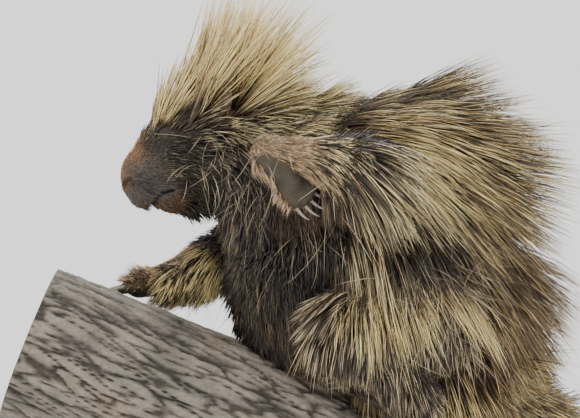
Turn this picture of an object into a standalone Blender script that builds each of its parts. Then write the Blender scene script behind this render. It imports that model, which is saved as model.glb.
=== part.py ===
"""A life-size porcupine on a cut length of limb, held over a flat display base.

The animal faces -X, its left side is towards -Y, and +Z is up. Places are in millimetres from the
seat, the spot on top of the limb under the middle of the body, and are turned into metres when a
mesh is made. The model's origin is the middle of the underside of the display base.
"""

import math
import random

import bmesh
import bpy
from mathutils import Matrix, Vector
from mathutils.bvhtree import BVHTree

MM = 0.001
GAP = 0.35  # between touching nodes
HEAD_CUTTER_TRIANGLES = 520
HEAD_GAP = 0.9  # round the head, whose neighbours are cut by a coarser copy of it
COAT_GAP = 0.8  # between a lock and the flesh of another node
LOCK_GAP = 0.6  # between locks of two nodes
SEAT_HEIGHT = 322.0
SEED = 7

# The limb that the animal grips, and the display stand under it.
LIMB_SLOPE = math.radians(21.5)
LIMB_HALF_WIDTH = 90.0
LIMB_HALF_HEIGHT = 76.0
LIMB_UPHILL = 236.0
LIMB_DOWNHILL = 290.0
LIMB_SIDES = 18
LIMB_RINGS = 6
BASE_SIZE = (440.0, 280.0, 18.0)
BASE_BEVEL = 4.0
ROD_RADIUS = 9.0
ROD_PLACES = {"stand_rod_front": -112.0, "stand_rod_rear": 122.0}
ROD_SUNK = 30.0

# Flesh of the trunk: centre and half sizes along X, Y and Z of each ball.
BALLS = {
    "snout": ((-147, 0, 168), (13, 17, 17)),
    "lip": ((-138, 0, 160), (17, 23, 17)),
    "muzzle": ((-138, 0, 174), (23, 25, 27)),
    "face": ((-122, 0, 184), (28, 31, 37)),
    "jaw": ((-108, 0, 161), (27, 25, 22)),
    "brow": ((-105, 0, 195), (34, 38, 43)),
    "skull": ((-80, 0, 196), (38, 43, 48)),
    "nape": ((-50, 0, 192), (36, 47, 52)),
    "neck": ((-24, 0, 180), (44, 56, 58)),
    "shoulders": ((14, 0, 154), (70, 78, 80)),
    "barrel": ((68, 0, 126), (98, 100, 110)),
    "hips": ((118, 0, 58), (70, 92, 90)),
    "belly": ((30, 0, 78), (82, 80, 82)),
    "tail_root": ((150, 0, -14), (38, 40, 36)),
}
HEAD_BALLS = ("snout", "lip", "muzzle", "face", "jaw", "brow", "skull")
NECK_BALLS = ("nape", "neck", "shoulders")
TORSO_BALLS = ("shoulders", "barrel", "hips", "belly", "tail_root")

# Bones of the legs and the tail: joint places, and the flesh's radius at each.
LEGS = {
    "foreleg_left": (((12, -58, 150), 36), ((56, -126, 182), 21), ((-22, -120, 195), 14)),
    "foreleg_right": (((-2, 52, 140), 36), ((-56, 66, 98), 25), ((-116, 40, 74), 16)),
    "hindleg_left": (((122, -62, 48), 50), ((58, -100, 34), 33), ((112, -80, -30), 19)),
    "hindleg_right": (((122, 62, 48), 50), ((58, 100, 34), 33), ((112, 80, -30), 19)),
}
TAIL = (((158, 0, -18), 31), ((200, 0, -46), 26), ((240, 0, -66), 18), ((272, 0, -80), 9))

# Feet: wrist or heel, direction of the toes, direction of the back of the foot, length, width.
FEET = {
    "forepaw_left": ((-22, -124, 188), (0.68, -0.1, -0.72), (-0.3, 0.86, -0.4), 68, 34),
    "forepaw_right": ((-116, 40, 73), (-0.95, -0.18, -0.1), (-0.1, 0.0, 1.0), 60, 36),
    "hindfoot_left": ((118, -76, -44), (-0.92, -0.06, 0.38), (0.36, -0.35, 0.86), 92, 36),
    "hindfoot_right": ((118, 76, -44), (-0.92, 0.06, 0.38), (0.36, 0.35, 0.86), 92, 36),
}
TOES = {"forepaw": 4, "hindfoot": 5}
CLAW_LENGTH = {"forepaw": 19.0, "hindfoot": 17.0}

# Head details.
EYE_CENTRE = (-118.5, -22.5, 213.5)
EYE_RADIUS = 6.0
LID_RADIUS = 8.2
LID_OPENING = 1.5
EYE_OUT = (-0.54, -0.72, 0.43)
LID_LINE = (0.62, -0.1, 0.75)
EAR_BASE = (-67, -30, 232)
EAR_TIP = (-63, -44, 262)
EAR_HALF_WIDTH = 13.0
EAR_WALL = 3.0
NOSTRIL = (-157.5, -8.0, 165)
NOSTRIL_RADII = (3.6, 2.4, 3.0)
MOUTH_LINE = ((-138, 136), (-131, 146), (-125, 154), (-119, 158), (-110, 160))
MOUTH_OPENING = 1.8
MOUTH_DEPTH = 5.0

# Lines down the middle of the flesh that the coat is set out from.
LINES = {
    "body": (
        (-128, 0, 205), (-92, 0, 200), (-50, 0, 190), (0, 0, 160), (60, 0, 125),
        (112, 0, 70), (140, 0, 5), (170, 0, -35), (220, 0, -56), (275, 0, -82),
    ),
}
for leg, joints in LEGS.items():
    LINES[leg] = tuple(place for place, _ in joints)

# Nodes that carry locks, the outermost coat first: each later one is cut clear of those before it.
COAT_ORDER = (
    "foreleg_left", "torso", "head", "neck", "hindleg_left", "hindleg_right", "tail",
    "foreleg_right",
)

CLEAR_ORDER = (
    "eye_left", "eye_right", "ear_left", "ear_right", "forepaw_left", "forepaw_right",
    "hindfoot_left", "hindfoot_right",
) + COAT_ORDER

COLOURS = {
    "head": (0.09, 0.06, 0.045), "ear": (0.2, 0.12, 0.09), "eye": (0.01, 0.01, 0.01),
    "neck": (0.11, 0.08, 0.05), "torso": (0.1, 0.07, 0.04), "tail": (0.06, 0.045, 0.035),
    "foreleg": (0.3, 0.22, 0.1), "forepaw": (0.16, 0.1, 0.06), "hindleg": (0.2, 0.15, 0.08),
    "hindfoot": (0.08, 0.06, 0.05), "perch": (0.26, 0.24, 0.2), "stand": (0.12, 0.12, 0.12),
}

# The coat: flat locks in groups. Stations run along a line, angles go round it from its upper side
# (degrees, the animal's left is positive), aim is backwards, outwards and down at the first and
# the last row, and side_fall adds to down on the flanks. Lengths are in millimetres.
LOCK_THICKNESS = 5.0
ROOT_SUNK = 8.0
ROOT_REACH = 3.0
LOCK_TAPER = (0.5, 1.0, 0.9, 0.5)


def coat_group(node, line, stations, angles, grid, aim, length, width, droop=0.35, side_fall=0.0, clear=4.0,
               steps=4):
    return {
        "node": node, "line": line, "stations": stations, "angles": angles, "grid": grid, "aim": aim,
        "length": length, "width": width, "droop": droop, "side_fall": side_fall, "clear": clear,
        "steps": steps,
    }


COAT = [
    coat_group(
        "head", "body", (0.14, 1.72), (-30, 30), (5, 4), ((0.25, 0.3), (0.95, 0.95), (0, 0)),
        (112, 130), 15, droop=0.12,
    ),
    coat_group(
        "neck", "body", (2.08, 2.92), (-66, 66), (3, 6), ((0.65, 0.5), (0.72, 0.8), (0, 0)),
        (84, 104), 22, side_fall=0.4,
    ),
    coat_group(
        "torso", "body", (3.12, 4.4), (-64, 64), (4, 7), ((0.52, 0.58), (0.8, 0.78), (0, 0)),
        (108, 120), 24, side_fall=0.5,
    ),
    coat_group(
        "torso", "body", (4.7, 5.95), (-66, 66), (4, 7), ((0.78, 0.97), (0.6, 0.22), (0, 0)),
        (118, 100), 25, side_fall=0.45,
    ),
]
for side in (-1, 1):
    COAT.append(
        coat_group(
            "torso", "body", (3.7, 5.3), (side * 72, side * 108), (4, 3),
            ((0.3, 0.25), (0.4, 0.35), (0.9, 1.0)), (138, 140), 27, clear=8.0,
        )
    )
    COAT.append(
        coat_group(
            "neck", "body", (2.1, 2.9), (side * 84, side * 118), (3, 2),
            ((0.7, 0.6), (0.4, 0.35), (0.5, 0.7)), (54, 64), 20, steps=3,
        )
    )
for node, side in (("hindleg_left", 1), ("hindleg_right", -1)):
    COAT.append(
        coat_group(
            node, node, (0.45, 1.5), (side * 15, side * 105), (3, 3),
            ((0.1, 0.1), (0.35, 0.3), (0.9, 1.0)), (58, 50), 22, steps=3,
        )
    )
COAT += [
    coat_group(
        "tail", "body", (7.2, 8.7), (-95, 95), (3, 5), ((0.95, 1.0), (0.42, 0.2), (0, 0)),
        (66, 42), 20, droop=0.2, steps=3,
    ),
    coat_group(
        "foreleg_left", "foreleg_left", (1.7, 0.95), (-12, 66), (4, 3),
        ((-0.6, -0.35), (0.5, 0.45), (0.45, 1.0)), (72, 96), 17, droop=0.6, clear=5.0,
    ),
    coat_group(
        "foreleg_right", "foreleg_right", (1.0, 1.75), (-110, -40), (3, 2),
        ((0.3, 0.4), (0.7, 0.6), (0.5, 0.4)), (46, 38), 16,
    ),
]


def limb_top(x):
    """Height of the limb's upper line under x, from the seat."""
    return -math.tan(LIMB_SLOPE) * x


def clear_scene():
    for obj in list(bpy.data.objects):
        bpy.data.objects.remove(obj)
    for collection in list(bpy.data.collections):
        bpy.data.collections.remove(collection)


def new_collection(name, hidden=False):
    collection = bpy.data.collections.new(name)
    bpy.context.scene.collection.children.link(collection)
    collection.hide_render = hidden
    return collection


def mesh_object(name, bm, collection):
    """A mesh object from places given from the seat, which it turns into metres above the floor."""
    lift = Matrix.Translation((0, 0, SEAT_HEIGHT * MM)) @ Matrix.Scale(MM, 4)
    bmesh.ops.transform(bm, matrix=lift, verts=bm.verts)
    bmesh.ops.recalc_face_normals(bm, faces=bm.faces)
    mesh = bpy.data.meshes.new(name)
    bm.to_mesh(mesh)
    bm.free()
    obj = bpy.data.objects.new(name, mesh)
    collection.objects.link(obj)
    return obj


def applied(obj):
    """Replaces the object's mesh by its evaluated one, and clears its modifiers."""
    bpy.context.view_layer.update()
    graph = bpy.context.evaluated_depsgraph_get()
    mesh = bpy.data.meshes.new_from_object(obj.evaluated_get(graph))
    obj.modifiers.clear()
    obj.data = mesh
    return obj


def copy_of(obj, name, collection):
    copy = obj.copy()
    copy.data = obj.data.copy()
    copy.name = name
    collection.objects.link(copy)
    return copy


def boolean(obj, others, operation, solver="MANIFOLD"):
    """Joins the others to the object or cuts them from it, one Boolean on a collection of them."""
    group = bpy.data.collections.new("operands")
    for other in others:
        group.objects.link(other)
    modifier = obj.modifiers.new(operation.lower(), "BOOLEAN")
    modifier.operation = operation
    modifier.operand_type = "COLLECTION"
    modifier.collection = group
    modifier.solver = solver
    applied(obj)
    bpy.data.collections.remove(group)
    return obj


def dropped(objects):
    for obj in objects:
        bpy.data.objects.remove(obj)


def islands(bm):
    """The mesh's separate surfaces, each as a list of its faces."""
    seen = set()
    found = []
    for start in bm.faces:
        if start in seen:
            continue
        piece = [start]
        seen.add(start)
        for face in piece:
            for edge in face.edges:
                for near in edge.link_faces:
                    if near not in seen:
                        seen.add(near)
                        piece.append(near)
        found.append(piece)
    return found


def keep_largest(obj):
    """Drops all but the largest closed surface, which clears loose scraps and sealed hollows."""
    bm = bmesh.new()
    bm.from_mesh(obj.data)
    bmesh.ops.triangulate(bm, faces=bm.faces)
    pieces = islands(bm)
    sizes = [
        sum(f.verts[0].co.dot(f.verts[1].co.cross(f.verts[2].co)) for f in piece) for piece in pieces
    ]
    largest = sizes.index(max(sizes))
    loose = [f for i, piece in enumerate(pieces) if i != largest for f in piece]
    bmesh.ops.delete(bm, geom=loose, context="FACES")
    bm.to_mesh(obj.data)
    bm.free()
    return obj


def fattened(obj, margin, collection):
    """A copy of the object whose surface stands the margin proud, to cut its neighbours with."""
    copy = copy_of(obj, obj.name + ".fat", collection)
    normals = [Vector(v.normal) for v in copy.data.vertices]
    for vertex, normal in zip(copy.data.vertices, normals):
        vertex.co += normal * margin * MM
    return copy


def add_ball(bm, centre, radii, rows=12):
    made = bmesh.ops.create_uvsphere(bm, u_segments=2 * rows, v_segments=rows, radius=1.0)
    place = Matrix.Translation(centre) @ Matrix.Diagonal((*radii, 1.0))
    bmesh.ops.transform(bm, matrix=place, verts=made["verts"])
    return made["verts"]


def add_bone(bm, start, start_radius, end, end_radius):
    """A rounded, tapered length of flesh between two joints."""
    verts = add_ball(bm, start, [start_radius] * 3) + add_ball(bm, end, [end_radius] * 3)
    hull = bmesh.ops.convex_hull(bm, input=verts)
    inside = [e for e in hull["geom_interior"] + hull["geom_unused"] if isinstance(e, bmesh.types.BMVert)]
    bmesh.ops.delete(bm, geom=list(set(inside)), context="VERTS")


def add_horn(bm, root, aim, up, length, radius, curl, sides=5, rings=3):
    """A tapered spine that curls down away from up: a claw."""
    aim = Vector(aim).normalized()
    side = aim.cross(Vector(up)).normalized()
    centre = Vector(root)
    rows = []
    for i in range(rings):
        share = i / rings
        across = side.cross(aim)
        size = radius * (1 - share) ** 0.7
        turn = [2 * math.pi * k / sides for k in range(sides)]
        rows.append(
            [bm.verts.new(centre + size * (0.8 * math.cos(a) * side + math.sin(a) * across)) for a in turn]
        )
        centre = centre + aim * length / rings
        aim = (Matrix.Rotation(-curl / rings, 3, side) @ aim).normalized()
    tip = bm.verts.new(centre)
    for low, high in zip(rows, rows[1:]):
        for k in range(sides):
            bm.faces.new((low[k], low[(k + 1) % sides], high[(k + 1) % sides], high[k]))
    for k in range(sides):
        bm.faces.new((rows[-1][k], rows[-1][(k + 1) % sides], tip))
    bm.faces.new(rows[0][::-1])


def smooth_flesh(name, bm, collection, voxel, rounds, triangles):
    """Melts the balls and bones in the mesh into one rounded form of about so many triangles."""
    obj = mesh_object(name, bm, collection)
    remesh = obj.modifiers.new("melt", "REMESH")
    remesh.mode = "VOXEL"
    remesh.voxel_size = voxel * MM
    smooth = obj.modifiers.new("round off", "SMOOTH")
    smooth.factor = 0.5
    smooth.iterations = rounds
    applied(obj)
    return keep_largest(coarsened(obj, triangles))


def coarsened(obj, triangles):
    """Thins the object's mesh to about so many triangles."""
    obj.data.calc_loop_triangles()
    thin = obj.modifiers.new("coarsen", "DECIMATE")
    thin.ratio = min(1.0, triangles / len(obj.data.loop_triangles))
    thin.use_collapse_triangulate = True
    return applied(obj)


def trunk_flesh(name, balls, collection, voxel, rounds, triangles):
    bm = bmesh.new()
    for ball in balls:
        add_ball(bm, *BALLS[ball])
    return smooth_flesh(name, bm, collection, voxel, rounds, triangles)


def bone_flesh(name, joints, collection, voxel=4.0, rounds=4, triangles=260):
    bm = bmesh.new()
    for (start, start_radius), (end, end_radius) in zip(joints, joints[1:]):
        add_bone(bm, start, start_radius, end, end_radius)
    return smooth_flesh(name, bm, collection, voxel, rounds, triangles)


def foot_flesh(name, collection):
    """A foot from its named place and size: sole, toes and their claws, joined into one."""
    heel, ahead, back, length, width = FEET[name]
    heel = Vector(heel)
    ahead = Vector(ahead).normalized()
    side = ahead.cross(Vector(back)).normalized()
    back = side.cross(ahead)
    kind = name.split("_")[0]
    count = TOES[kind]
    toe_radius = width / count * 0.56
    flesh = bmesh.new()
    add_bone(flesh, heel, width * 0.36, heel + ahead * length * 0.5, width * 0.36)
    claws = []
    for i in range(count):
        share = (i + 0.5) / count * 2 - 1
        knuckle = heel + ahead * length * 0.46 + side * share * width * 0.36
        reach = length * (0.8 - 0.1 * abs(share))
        toe = heel + ahead * reach + side * share * width * 0.46 - back * width * 0.08
        add_bone(flesh, knuckle, toe_radius * 1.15, toe, toe_radius)
        claws.append((toe, ahead + 0.25 * share * side))
    foot = smooth_flesh(name, flesh, collection, 2.6, 3, 250)
    horns = []
    for toe, aim in claws:
        bm = bmesh.new()
        root = toe + back * toe_radius * 0.25
        add_horn(bm, root, aim + 0.2 * back, back, CLAW_LENGTH[kind] + toe_radius, 2.6, 1.2)
        horns.append(mesh_object("claw", bm, collection))
    boolean(foot, horns, "UNION")
    dropped(horns)
    return keep_largest(foot)


def line_place(name, station):
    """Centre, backward direction and upward direction of a coat line at a station along it."""
    points = [Vector(p) for p in LINES[name]]
    last = len(points) - 1
    at = min(max(station, 0.0), last - 1e-6)
    low = int(at)
    share = at - low
    a, b = points[low], points[low + 1]
    before = points[max(low - 1, 0)]
    after = points[min(low + 2, last)]
    slope_a, slope_b = (b - before) / 2, (after - a) / 2
    square, cube = share * share, share**3
    centre = (
        (2 * cube - 3 * square + 1) * a
        + (cube - 2 * square + share) * slope_a
        + (3 * square - 2 * cube) * b
        + (cube - square) * slope_b
    )
    along = (slope_a * (1 - share) + slope_b * share).normalized()
    upward = (Vector((0, 0, 1)) - along * along.z).normalized()
    return centre, along, upward


def surface_under(tree, centre, outward):
    """Where the ray from outside, back towards the centre, meets the flesh, from the seat."""
    reach = 300.0
    start = (centre + outward * reach) * MM + Vector((0, 0, SEAT_HEIGHT * MM))
    hit = tree.ray_cast(start, -outward)[0]
    return None if hit is None else hit / MM - Vector((0, 0, SEAT_HEIGHT))


def grows_here(own_tree, root):
    """Whether this spot on the body's surface belongs to the node."""
    where = root * MM + Vector((0, 0, SEAT_HEIGHT * MM))
    return own_tree.find_nearest(where)[3] < ROOT_REACH * MM


def lifted(point, skin, clear):
    """The point moved out of the flesh until it stands clear of it."""
    where = point * MM + Vector((0, 0, SEAT_HEIGHT * MM))
    near, normal, _, _ = skin.find_nearest(where)
    away = (where - near) / MM
    height = away.dot(normal)
    if height >= clear or away.length > 2 * clear + 12:
        return point
    return point + normal * (clear - height)


def lock_path(root, aim, length, droop, skin, clear, steps):
    """Places along a lock, from a root sunk in the flesh to its tip, bent down by its weight."""
    aim = aim.normalized()
    points = [root - aim * ROOT_SUNK]
    step = length / steps
    for i in range(steps):
        nearest = points[-1] + aim * (step + (ROOT_SUNK if i == 0 else 0))
        moved = lifted(nearest, skin, clear)
        points.append(moved)
        aim = (points[-1] - points[-2]).normalized()
        aim = (aim + Vector((0, 0, -droop / steps))).normalized()
    return points


def add_lock(bm, points, across, width, thickness):
    """A flat, tapered lock along the points, its section a flat diamond."""
    last = len(points) - 1
    rows = []
    for i, point in enumerate(points[:-1]):
        ahead = (points[i + 1] - points[max(i - 1, 0)]).normalized()
        side = (across - ahead * across.dot(ahead)).normalized()
        face = ahead.cross(side)
        full = LOCK_TAPER[min(round(4 * i / last), 3)]
        half = full * width / 2
        deep = (0.6 + 0.4 * full) * thickness / 2
        ring = (side * half, face * deep, -side * half, -face * deep)
        rows.append([bm.verts.new(point + offset) for offset in ring])
    tip = bm.verts.new(points[-1])
    for low, high in zip(rows, rows[1:]):
        for k in range(4):
            bm.faces.new((low[k], low[(k + 1) % 4], high[(k + 1) % 4], high[k]))
    for k in range(4):
        bm.faces.new((rows[-1][k], rows[-1][(k + 1) % 4], tip))
    bm.faces.new(rows[0][::-1])


def between(pair, share):
    return pair[0] + (pair[1] - pair[0]) * share


def group_locks(group, draw, own_tree, skin):
    """Path, width direction and width of each lock in a group of the coat."""
    found = []
    rows, columns = group["grid"]
    for row in range(rows):
        down_row = row / max(rows - 1, 1)
        station = between(group["stations"], down_row)
        for column in range(columns):
            place = (column + 0.5 * (row % 2)) / max(columns - 0.5, 1)
            angle = math.radians(between(group["angles"], place) + draw.uniform(-2, 2))
            centre, along, upward = line_place(group["line"], station + draw.uniform(-0.04, 0.04))
            sideways = along.cross(upward)
            outward = (upward * math.cos(angle) + sideways * math.sin(angle)).normalized()
            root = surface_under(skin, centre, outward)
            if root is None or not grows_here(own_tree, root):
                continue
            back, out, fall = [between(pair, down_row) for pair in group["aim"]]
            fall = fall + group["side_fall"] * abs(math.sin(angle))
            aim = along * back + outward * out + Vector((0, 0, -fall))
            length = between(group["length"], down_row) * draw.uniform(0.88, 1.12)
            path = lock_path(root, aim, length, group["droop"], skin, group["clear"], group["steps"])
            width = group["width"] * draw.uniform(0.85, 1.15)
            found.append((path, along.cross(outward), width))
    return found


def joined(name, paths, margin, collection):
    """One mesh of the locks along these paths, each this much fatter all round than it grows."""
    locks = []
    for path, across, width in paths:
        bm = bmesh.new()
        add_lock(bm, path, across, width + 4 * margin, LOCK_THICKNESS + 2 * margin)
        locks.append(mesh_object(name, bm, collection))
    first = locks.pop()
    if locks:
        boolean(first, locks, "UNION")
        dropped(locks)
    return first


def coat_paths(node, draw, own_tree, skin):
    """The paths of every lock that grows from the node."""
    paths = []
    for group in COAT:
        if group["node"] == node:
            paths += group_locks(group, draw, own_tree, skin)
    return paths


def box_of(obj):
    corners = [Vector(v.co) for v in obj.data.vertices]
    return [(min(c[i] for c in corners), max(c[i] for c in corners)) for i in range(3)]


def boxes_meet(first, second):
    return all(a[0] < b[1] and b[0] < a[1] for a, b in zip(box_of(first), box_of(second)))


def relieve(outer, inner, collection):
    """Cuts a small block from the inner node wherever the outer one still reaches into it."""
    if not boxes_meet(outer, inner):
        return
    common = copy_of(inner, "common", collection)
    boolean(common, [outer], "INTERSECT")
    bm = bmesh.new()
    bm.from_mesh(common.data)
    reliefs = []
    for piece in islands(bm):
        block = bmesh.new()
        for place in {v.co.copy().freeze() for face in piece for v in face.verts}:
            middle = place / MM - Vector((0, 0, SEAT_HEIGHT))
            for corner in range(8):
                push = Vector([COAT_GAP if corner >> axis & 1 else -COAT_GAP for axis in range(3)])
                block.verts.new(middle + push)
        hull = bmesh.ops.convex_hull(block, input=block.verts[:])
        spare = [e for e in hull["geom_interior"] + hull["geom_unused"] if isinstance(e, bmesh.types.BMVert)]
        bmesh.ops.delete(block, geom=list(set(spare)), context="VERTS")
        reliefs.append(mesh_object("relief", block, collection))
    bm.free()
    dropped([common])
    if reliefs:
        boolean(inner, reliefs, "DIFFERENCE")
        dropped(reliefs)
        keep_largest(inner)


def cut_mouth(head, collection):
    """A thin slit from the chin up to the corner of the mouth, only so deep all round."""
    bm = bmesh.new()
    half = MOUTH_OPENING / 2
    line = [Vector((x, 0, z)) for x, z in MOUTH_LINE]
    rows = []
    for i, point in enumerate(line):
        ahead = (line[min(i + 1, len(line) - 1)] - line[max(i - 1, 0)]).normalized()
        up = Vector((-ahead.z, 0, ahead.x)) * half * (0.35 if i == len(line) - 1 else 1)
        across = Vector((0, 60, 0))
        corners = (point + up + across, point - up + across, point - up - across, point + up - across)
        rows.append([bm.verts.new(corner) for corner in corners])
    for low, high in zip(rows, rows[1:]):
        for k in range(4):
            bm.faces.new((low[k], low[(k + 1) % 4], high[(k + 1) % 4], high[k]))
    bm.faces.new(rows[0][::-1])
    bm.faces.new(rows[-1])
    slit = mesh_object("mouth.cutter", bm, collection)
    core_shape = bmesh.new()
    for ball in HEAD_BALLS:
        centre, radii = BALLS[ball]
        add_ball(core_shape, centre, [r - MOUTH_DEPTH for r in radii])
    core = smooth_flesh("mouth.core", core_shape, collection, 3.0, 4, 400)
    boolean(slit, [core], "DIFFERENCE")
    boolean(head, [slit], "DIFFERENCE")
    dropped([slit, core])


def mirrored(place, side):
    return Vector((place[0], place[1] * side, place[2]))


def ball_object(name, centre, radii, collection, rows=8):
    bm = bmesh.new()
    add_ball(bm, centre, radii, rows)
    return mesh_object(name, bm, collection)


def eye_and_lids(head, side_name, side, parts, cutters):
    """Swells the lids, opens the narrow slit between them and sets the eye behind it."""
    centre = mirrored(EYE_CENTRE, side)
    lids = ball_object("lids", centre, [LID_RADIUS] * 3, cutters, rows=6)
    boolean(head, [lids], "UNION")
    socket = ball_object("socket", centre, [EYE_RADIUS + 2 * GAP] * 3, cutters, rows=5)
    out = mirrored(EYE_OUT, side).normalized()
    line = mirrored(LID_LINE, side)
    line = (line - out * line.dot(out)).normalized()
    bm = bmesh.new()
    made = bmesh.ops.create_cube(bm, size=1.0)
    depth = 2 * LID_RADIUS
    turned = Matrix((line, out.cross(line), out)).transposed().to_4x4()
    size = Matrix.Diagonal((LID_RADIUS * 1.45, LID_OPENING, depth, 1.0))
    place = Matrix.Translation(centre + out * depth / 2) @ turned @ size
    bmesh.ops.transform(bm, matrix=place, verts=made["verts"])
    opening = mesh_object("lid.opening", bm, cutters)
    boolean(head, [socket, opening], "DIFFERENCE")
    dropped([lids, socket, opening])
    return ball_object("eye_" + side_name, centre, [EYE_RADIUS] * 3, parts, rows=5)


def ear(side_name, side, parts, cutters):
    """A rounded cup that opens forwards and outwards."""
    base = mirrored(EAR_BASE, side)
    tip = mirrored(EAR_TIP, side)
    axis = (tip - base).normalized()
    facing = Vector((-0.75, -0.66 * side, 0.1))
    facing = (facing - axis * facing.dot(axis)).normalized()
    turned = Matrix((axis, axis.cross(facing), facing)).transposed().to_4x4()
    middle = (base + tip) / 2
    half = (tip - base).length / 2 + 4
    shapes = []
    for push, wall in ((0.0, 0.0), (EAR_WALL + 1.6, EAR_WALL)):
        bm = bmesh.new()
        made = bmesh.ops.create_uvsphere(bm, u_segments=12, v_segments=7, radius=1.0)
        size = Matrix.Diagonal((half - wall, EAR_HALF_WIDTH - wall, 8.0 - wall * 0.4, 1.0))
        place = Matrix.Translation(middle + facing * push) @ turned @ size
        bmesh.ops.transform(bm, matrix=place, verts=made["verts"])
        shapes.append(mesh_object("ear_" + side_name, bm, parts if not wall else cutters))
    boolean(shapes[0], [shapes[1]], "DIFFERENCE")
    dropped([shapes[1]])
    return keep_largest(shapes[0])


def perch(collection):
    """The cut length of limb: a tapered, uneven cylinder with flat sawn ends."""
    length = LIMB_UPHILL + LIMB_DOWNHILL
    bm = bmesh.new()
    bmesh.ops.create_cone(
        bm, cap_ends=True, segments=LIMB_SIDES, radius1=1.0, radius2=1.0, depth=1.0,
        matrix=Matrix.Rotation(math.pi / 2, 4, "Y"),
    )
    for i in range(1, LIMB_RINGS):
        cut = i / LIMB_RINGS - 0.5
        every = bm.verts[:] + bm.edges[:] + bm.faces[:]
        bmesh.ops.bisect_plane(bm, geom=every, plane_co=(cut, 0, 0), plane_no=(1, 0, 0))
    for vert in bm.verts:
        angle = math.atan2(vert.co.y, vert.co.z)
        along = vert.co.x + 0.5
        below = max(0.0, -vert.co.z)
        uneven = 1 + below * (0.035 * math.sin(3 * angle + 5 * along) + 0.03 * math.sin(7 * along + 1))
        flare = 1 + 0.06 * below * (0.5 - along)
        vert.co.y *= LIMB_HALF_WIDTH * uneven * flare
        vert.co.z *= LIMB_HALF_HEIGHT * uneven * flare
        vert.co.x = along * length - LIMB_UPHILL
        vert.co.z -= LIMB_HALF_HEIGHT
    bmesh.ops.rotate(bm, verts=bm.verts, cent=(0, 0, 0), matrix=Matrix.Rotation(LIMB_SLOPE, 3, "Y"))
    bmesh.ops.triangulate(bm, faces=[f for f in bm.faces if len(f.verts) > 4])
    return mesh_object("perch_limb", bm, collection)


def stand(limb, parts, cutters):
    """A flat base and two rods, sunk in drilled holes in the base and in the limb."""
    bm = bmesh.new()
    made = bmesh.ops.create_cube(bm, size=1.0)
    middle = (0, 0, BASE_SIZE[2] / 2 - SEAT_HEIGHT)
    place = Matrix.Translation(middle) @ Matrix.Diagonal((*BASE_SIZE, 1.0))
    bmesh.ops.transform(bm, matrix=place, verts=made["verts"])
    bmesh.ops.bevel(
        bm, geom=bm.edges[:], offset=BASE_BEVEL, segments=1, profile=0.5, affect="EDGES"
    )
    base = mesh_object("stand_base", bm, parts)
    holes = []
    rods = []
    foot = BASE_SIZE[2] / 2 - SEAT_HEIGHT
    for name, x in ROD_PLACES.items():
        top = limb_top(x) - 2 * LIMB_HALF_HEIGHT / math.cos(LIMB_SLOPE) + ROD_SUNK
        for role, radius, low, high in (
            (name, ROD_RADIUS, foot, top), ("hole", ROD_RADIUS + GAP, foot - GAP, top + GAP),
        ):
            bm = bmesh.new()
            bmesh.ops.create_cone(
                bm, cap_ends=True, segments=14, radius1=radius, radius2=radius, depth=high - low,
                matrix=Matrix.Translation((x, 0, (low + high) / 2)),
            )
            made = mesh_object(role, bm, parts if role == name else cutters)
            (rods if role == name else holes).append(made)
    boolean(limb, holes, "DIFFERENCE")
    boolean(base, holes, "DIFFERENCE")
    dropped(holes)
    return [base] + rods


def tree_of(obj):
    graph = bpy.context.evaluated_depsgraph_get()
    bpy.context.view_layer.update()
    return BVHTree.FromObject(obj, graph)


def coloured(obj):
    """A plain material of the node's own."""
    kind = obj.name.split("_")[0]
    material = bpy.data.materials.new(obj.name)
    material.use_nodes = True
    shader = material.node_tree.nodes["Principled BSDF"]
    shader.inputs["Base Color"].default_value = (*COLOURS[kind], 1.0)
    shader.inputs["Roughness"].default_value = 0.2 if kind == "eye" else 0.85
    obj.data.materials.clear()
    obj.data.materials.append(material)
    obj.data.shade_smooth()
    obj.data.set_sharp_from_angle(angle=math.radians(35))


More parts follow.
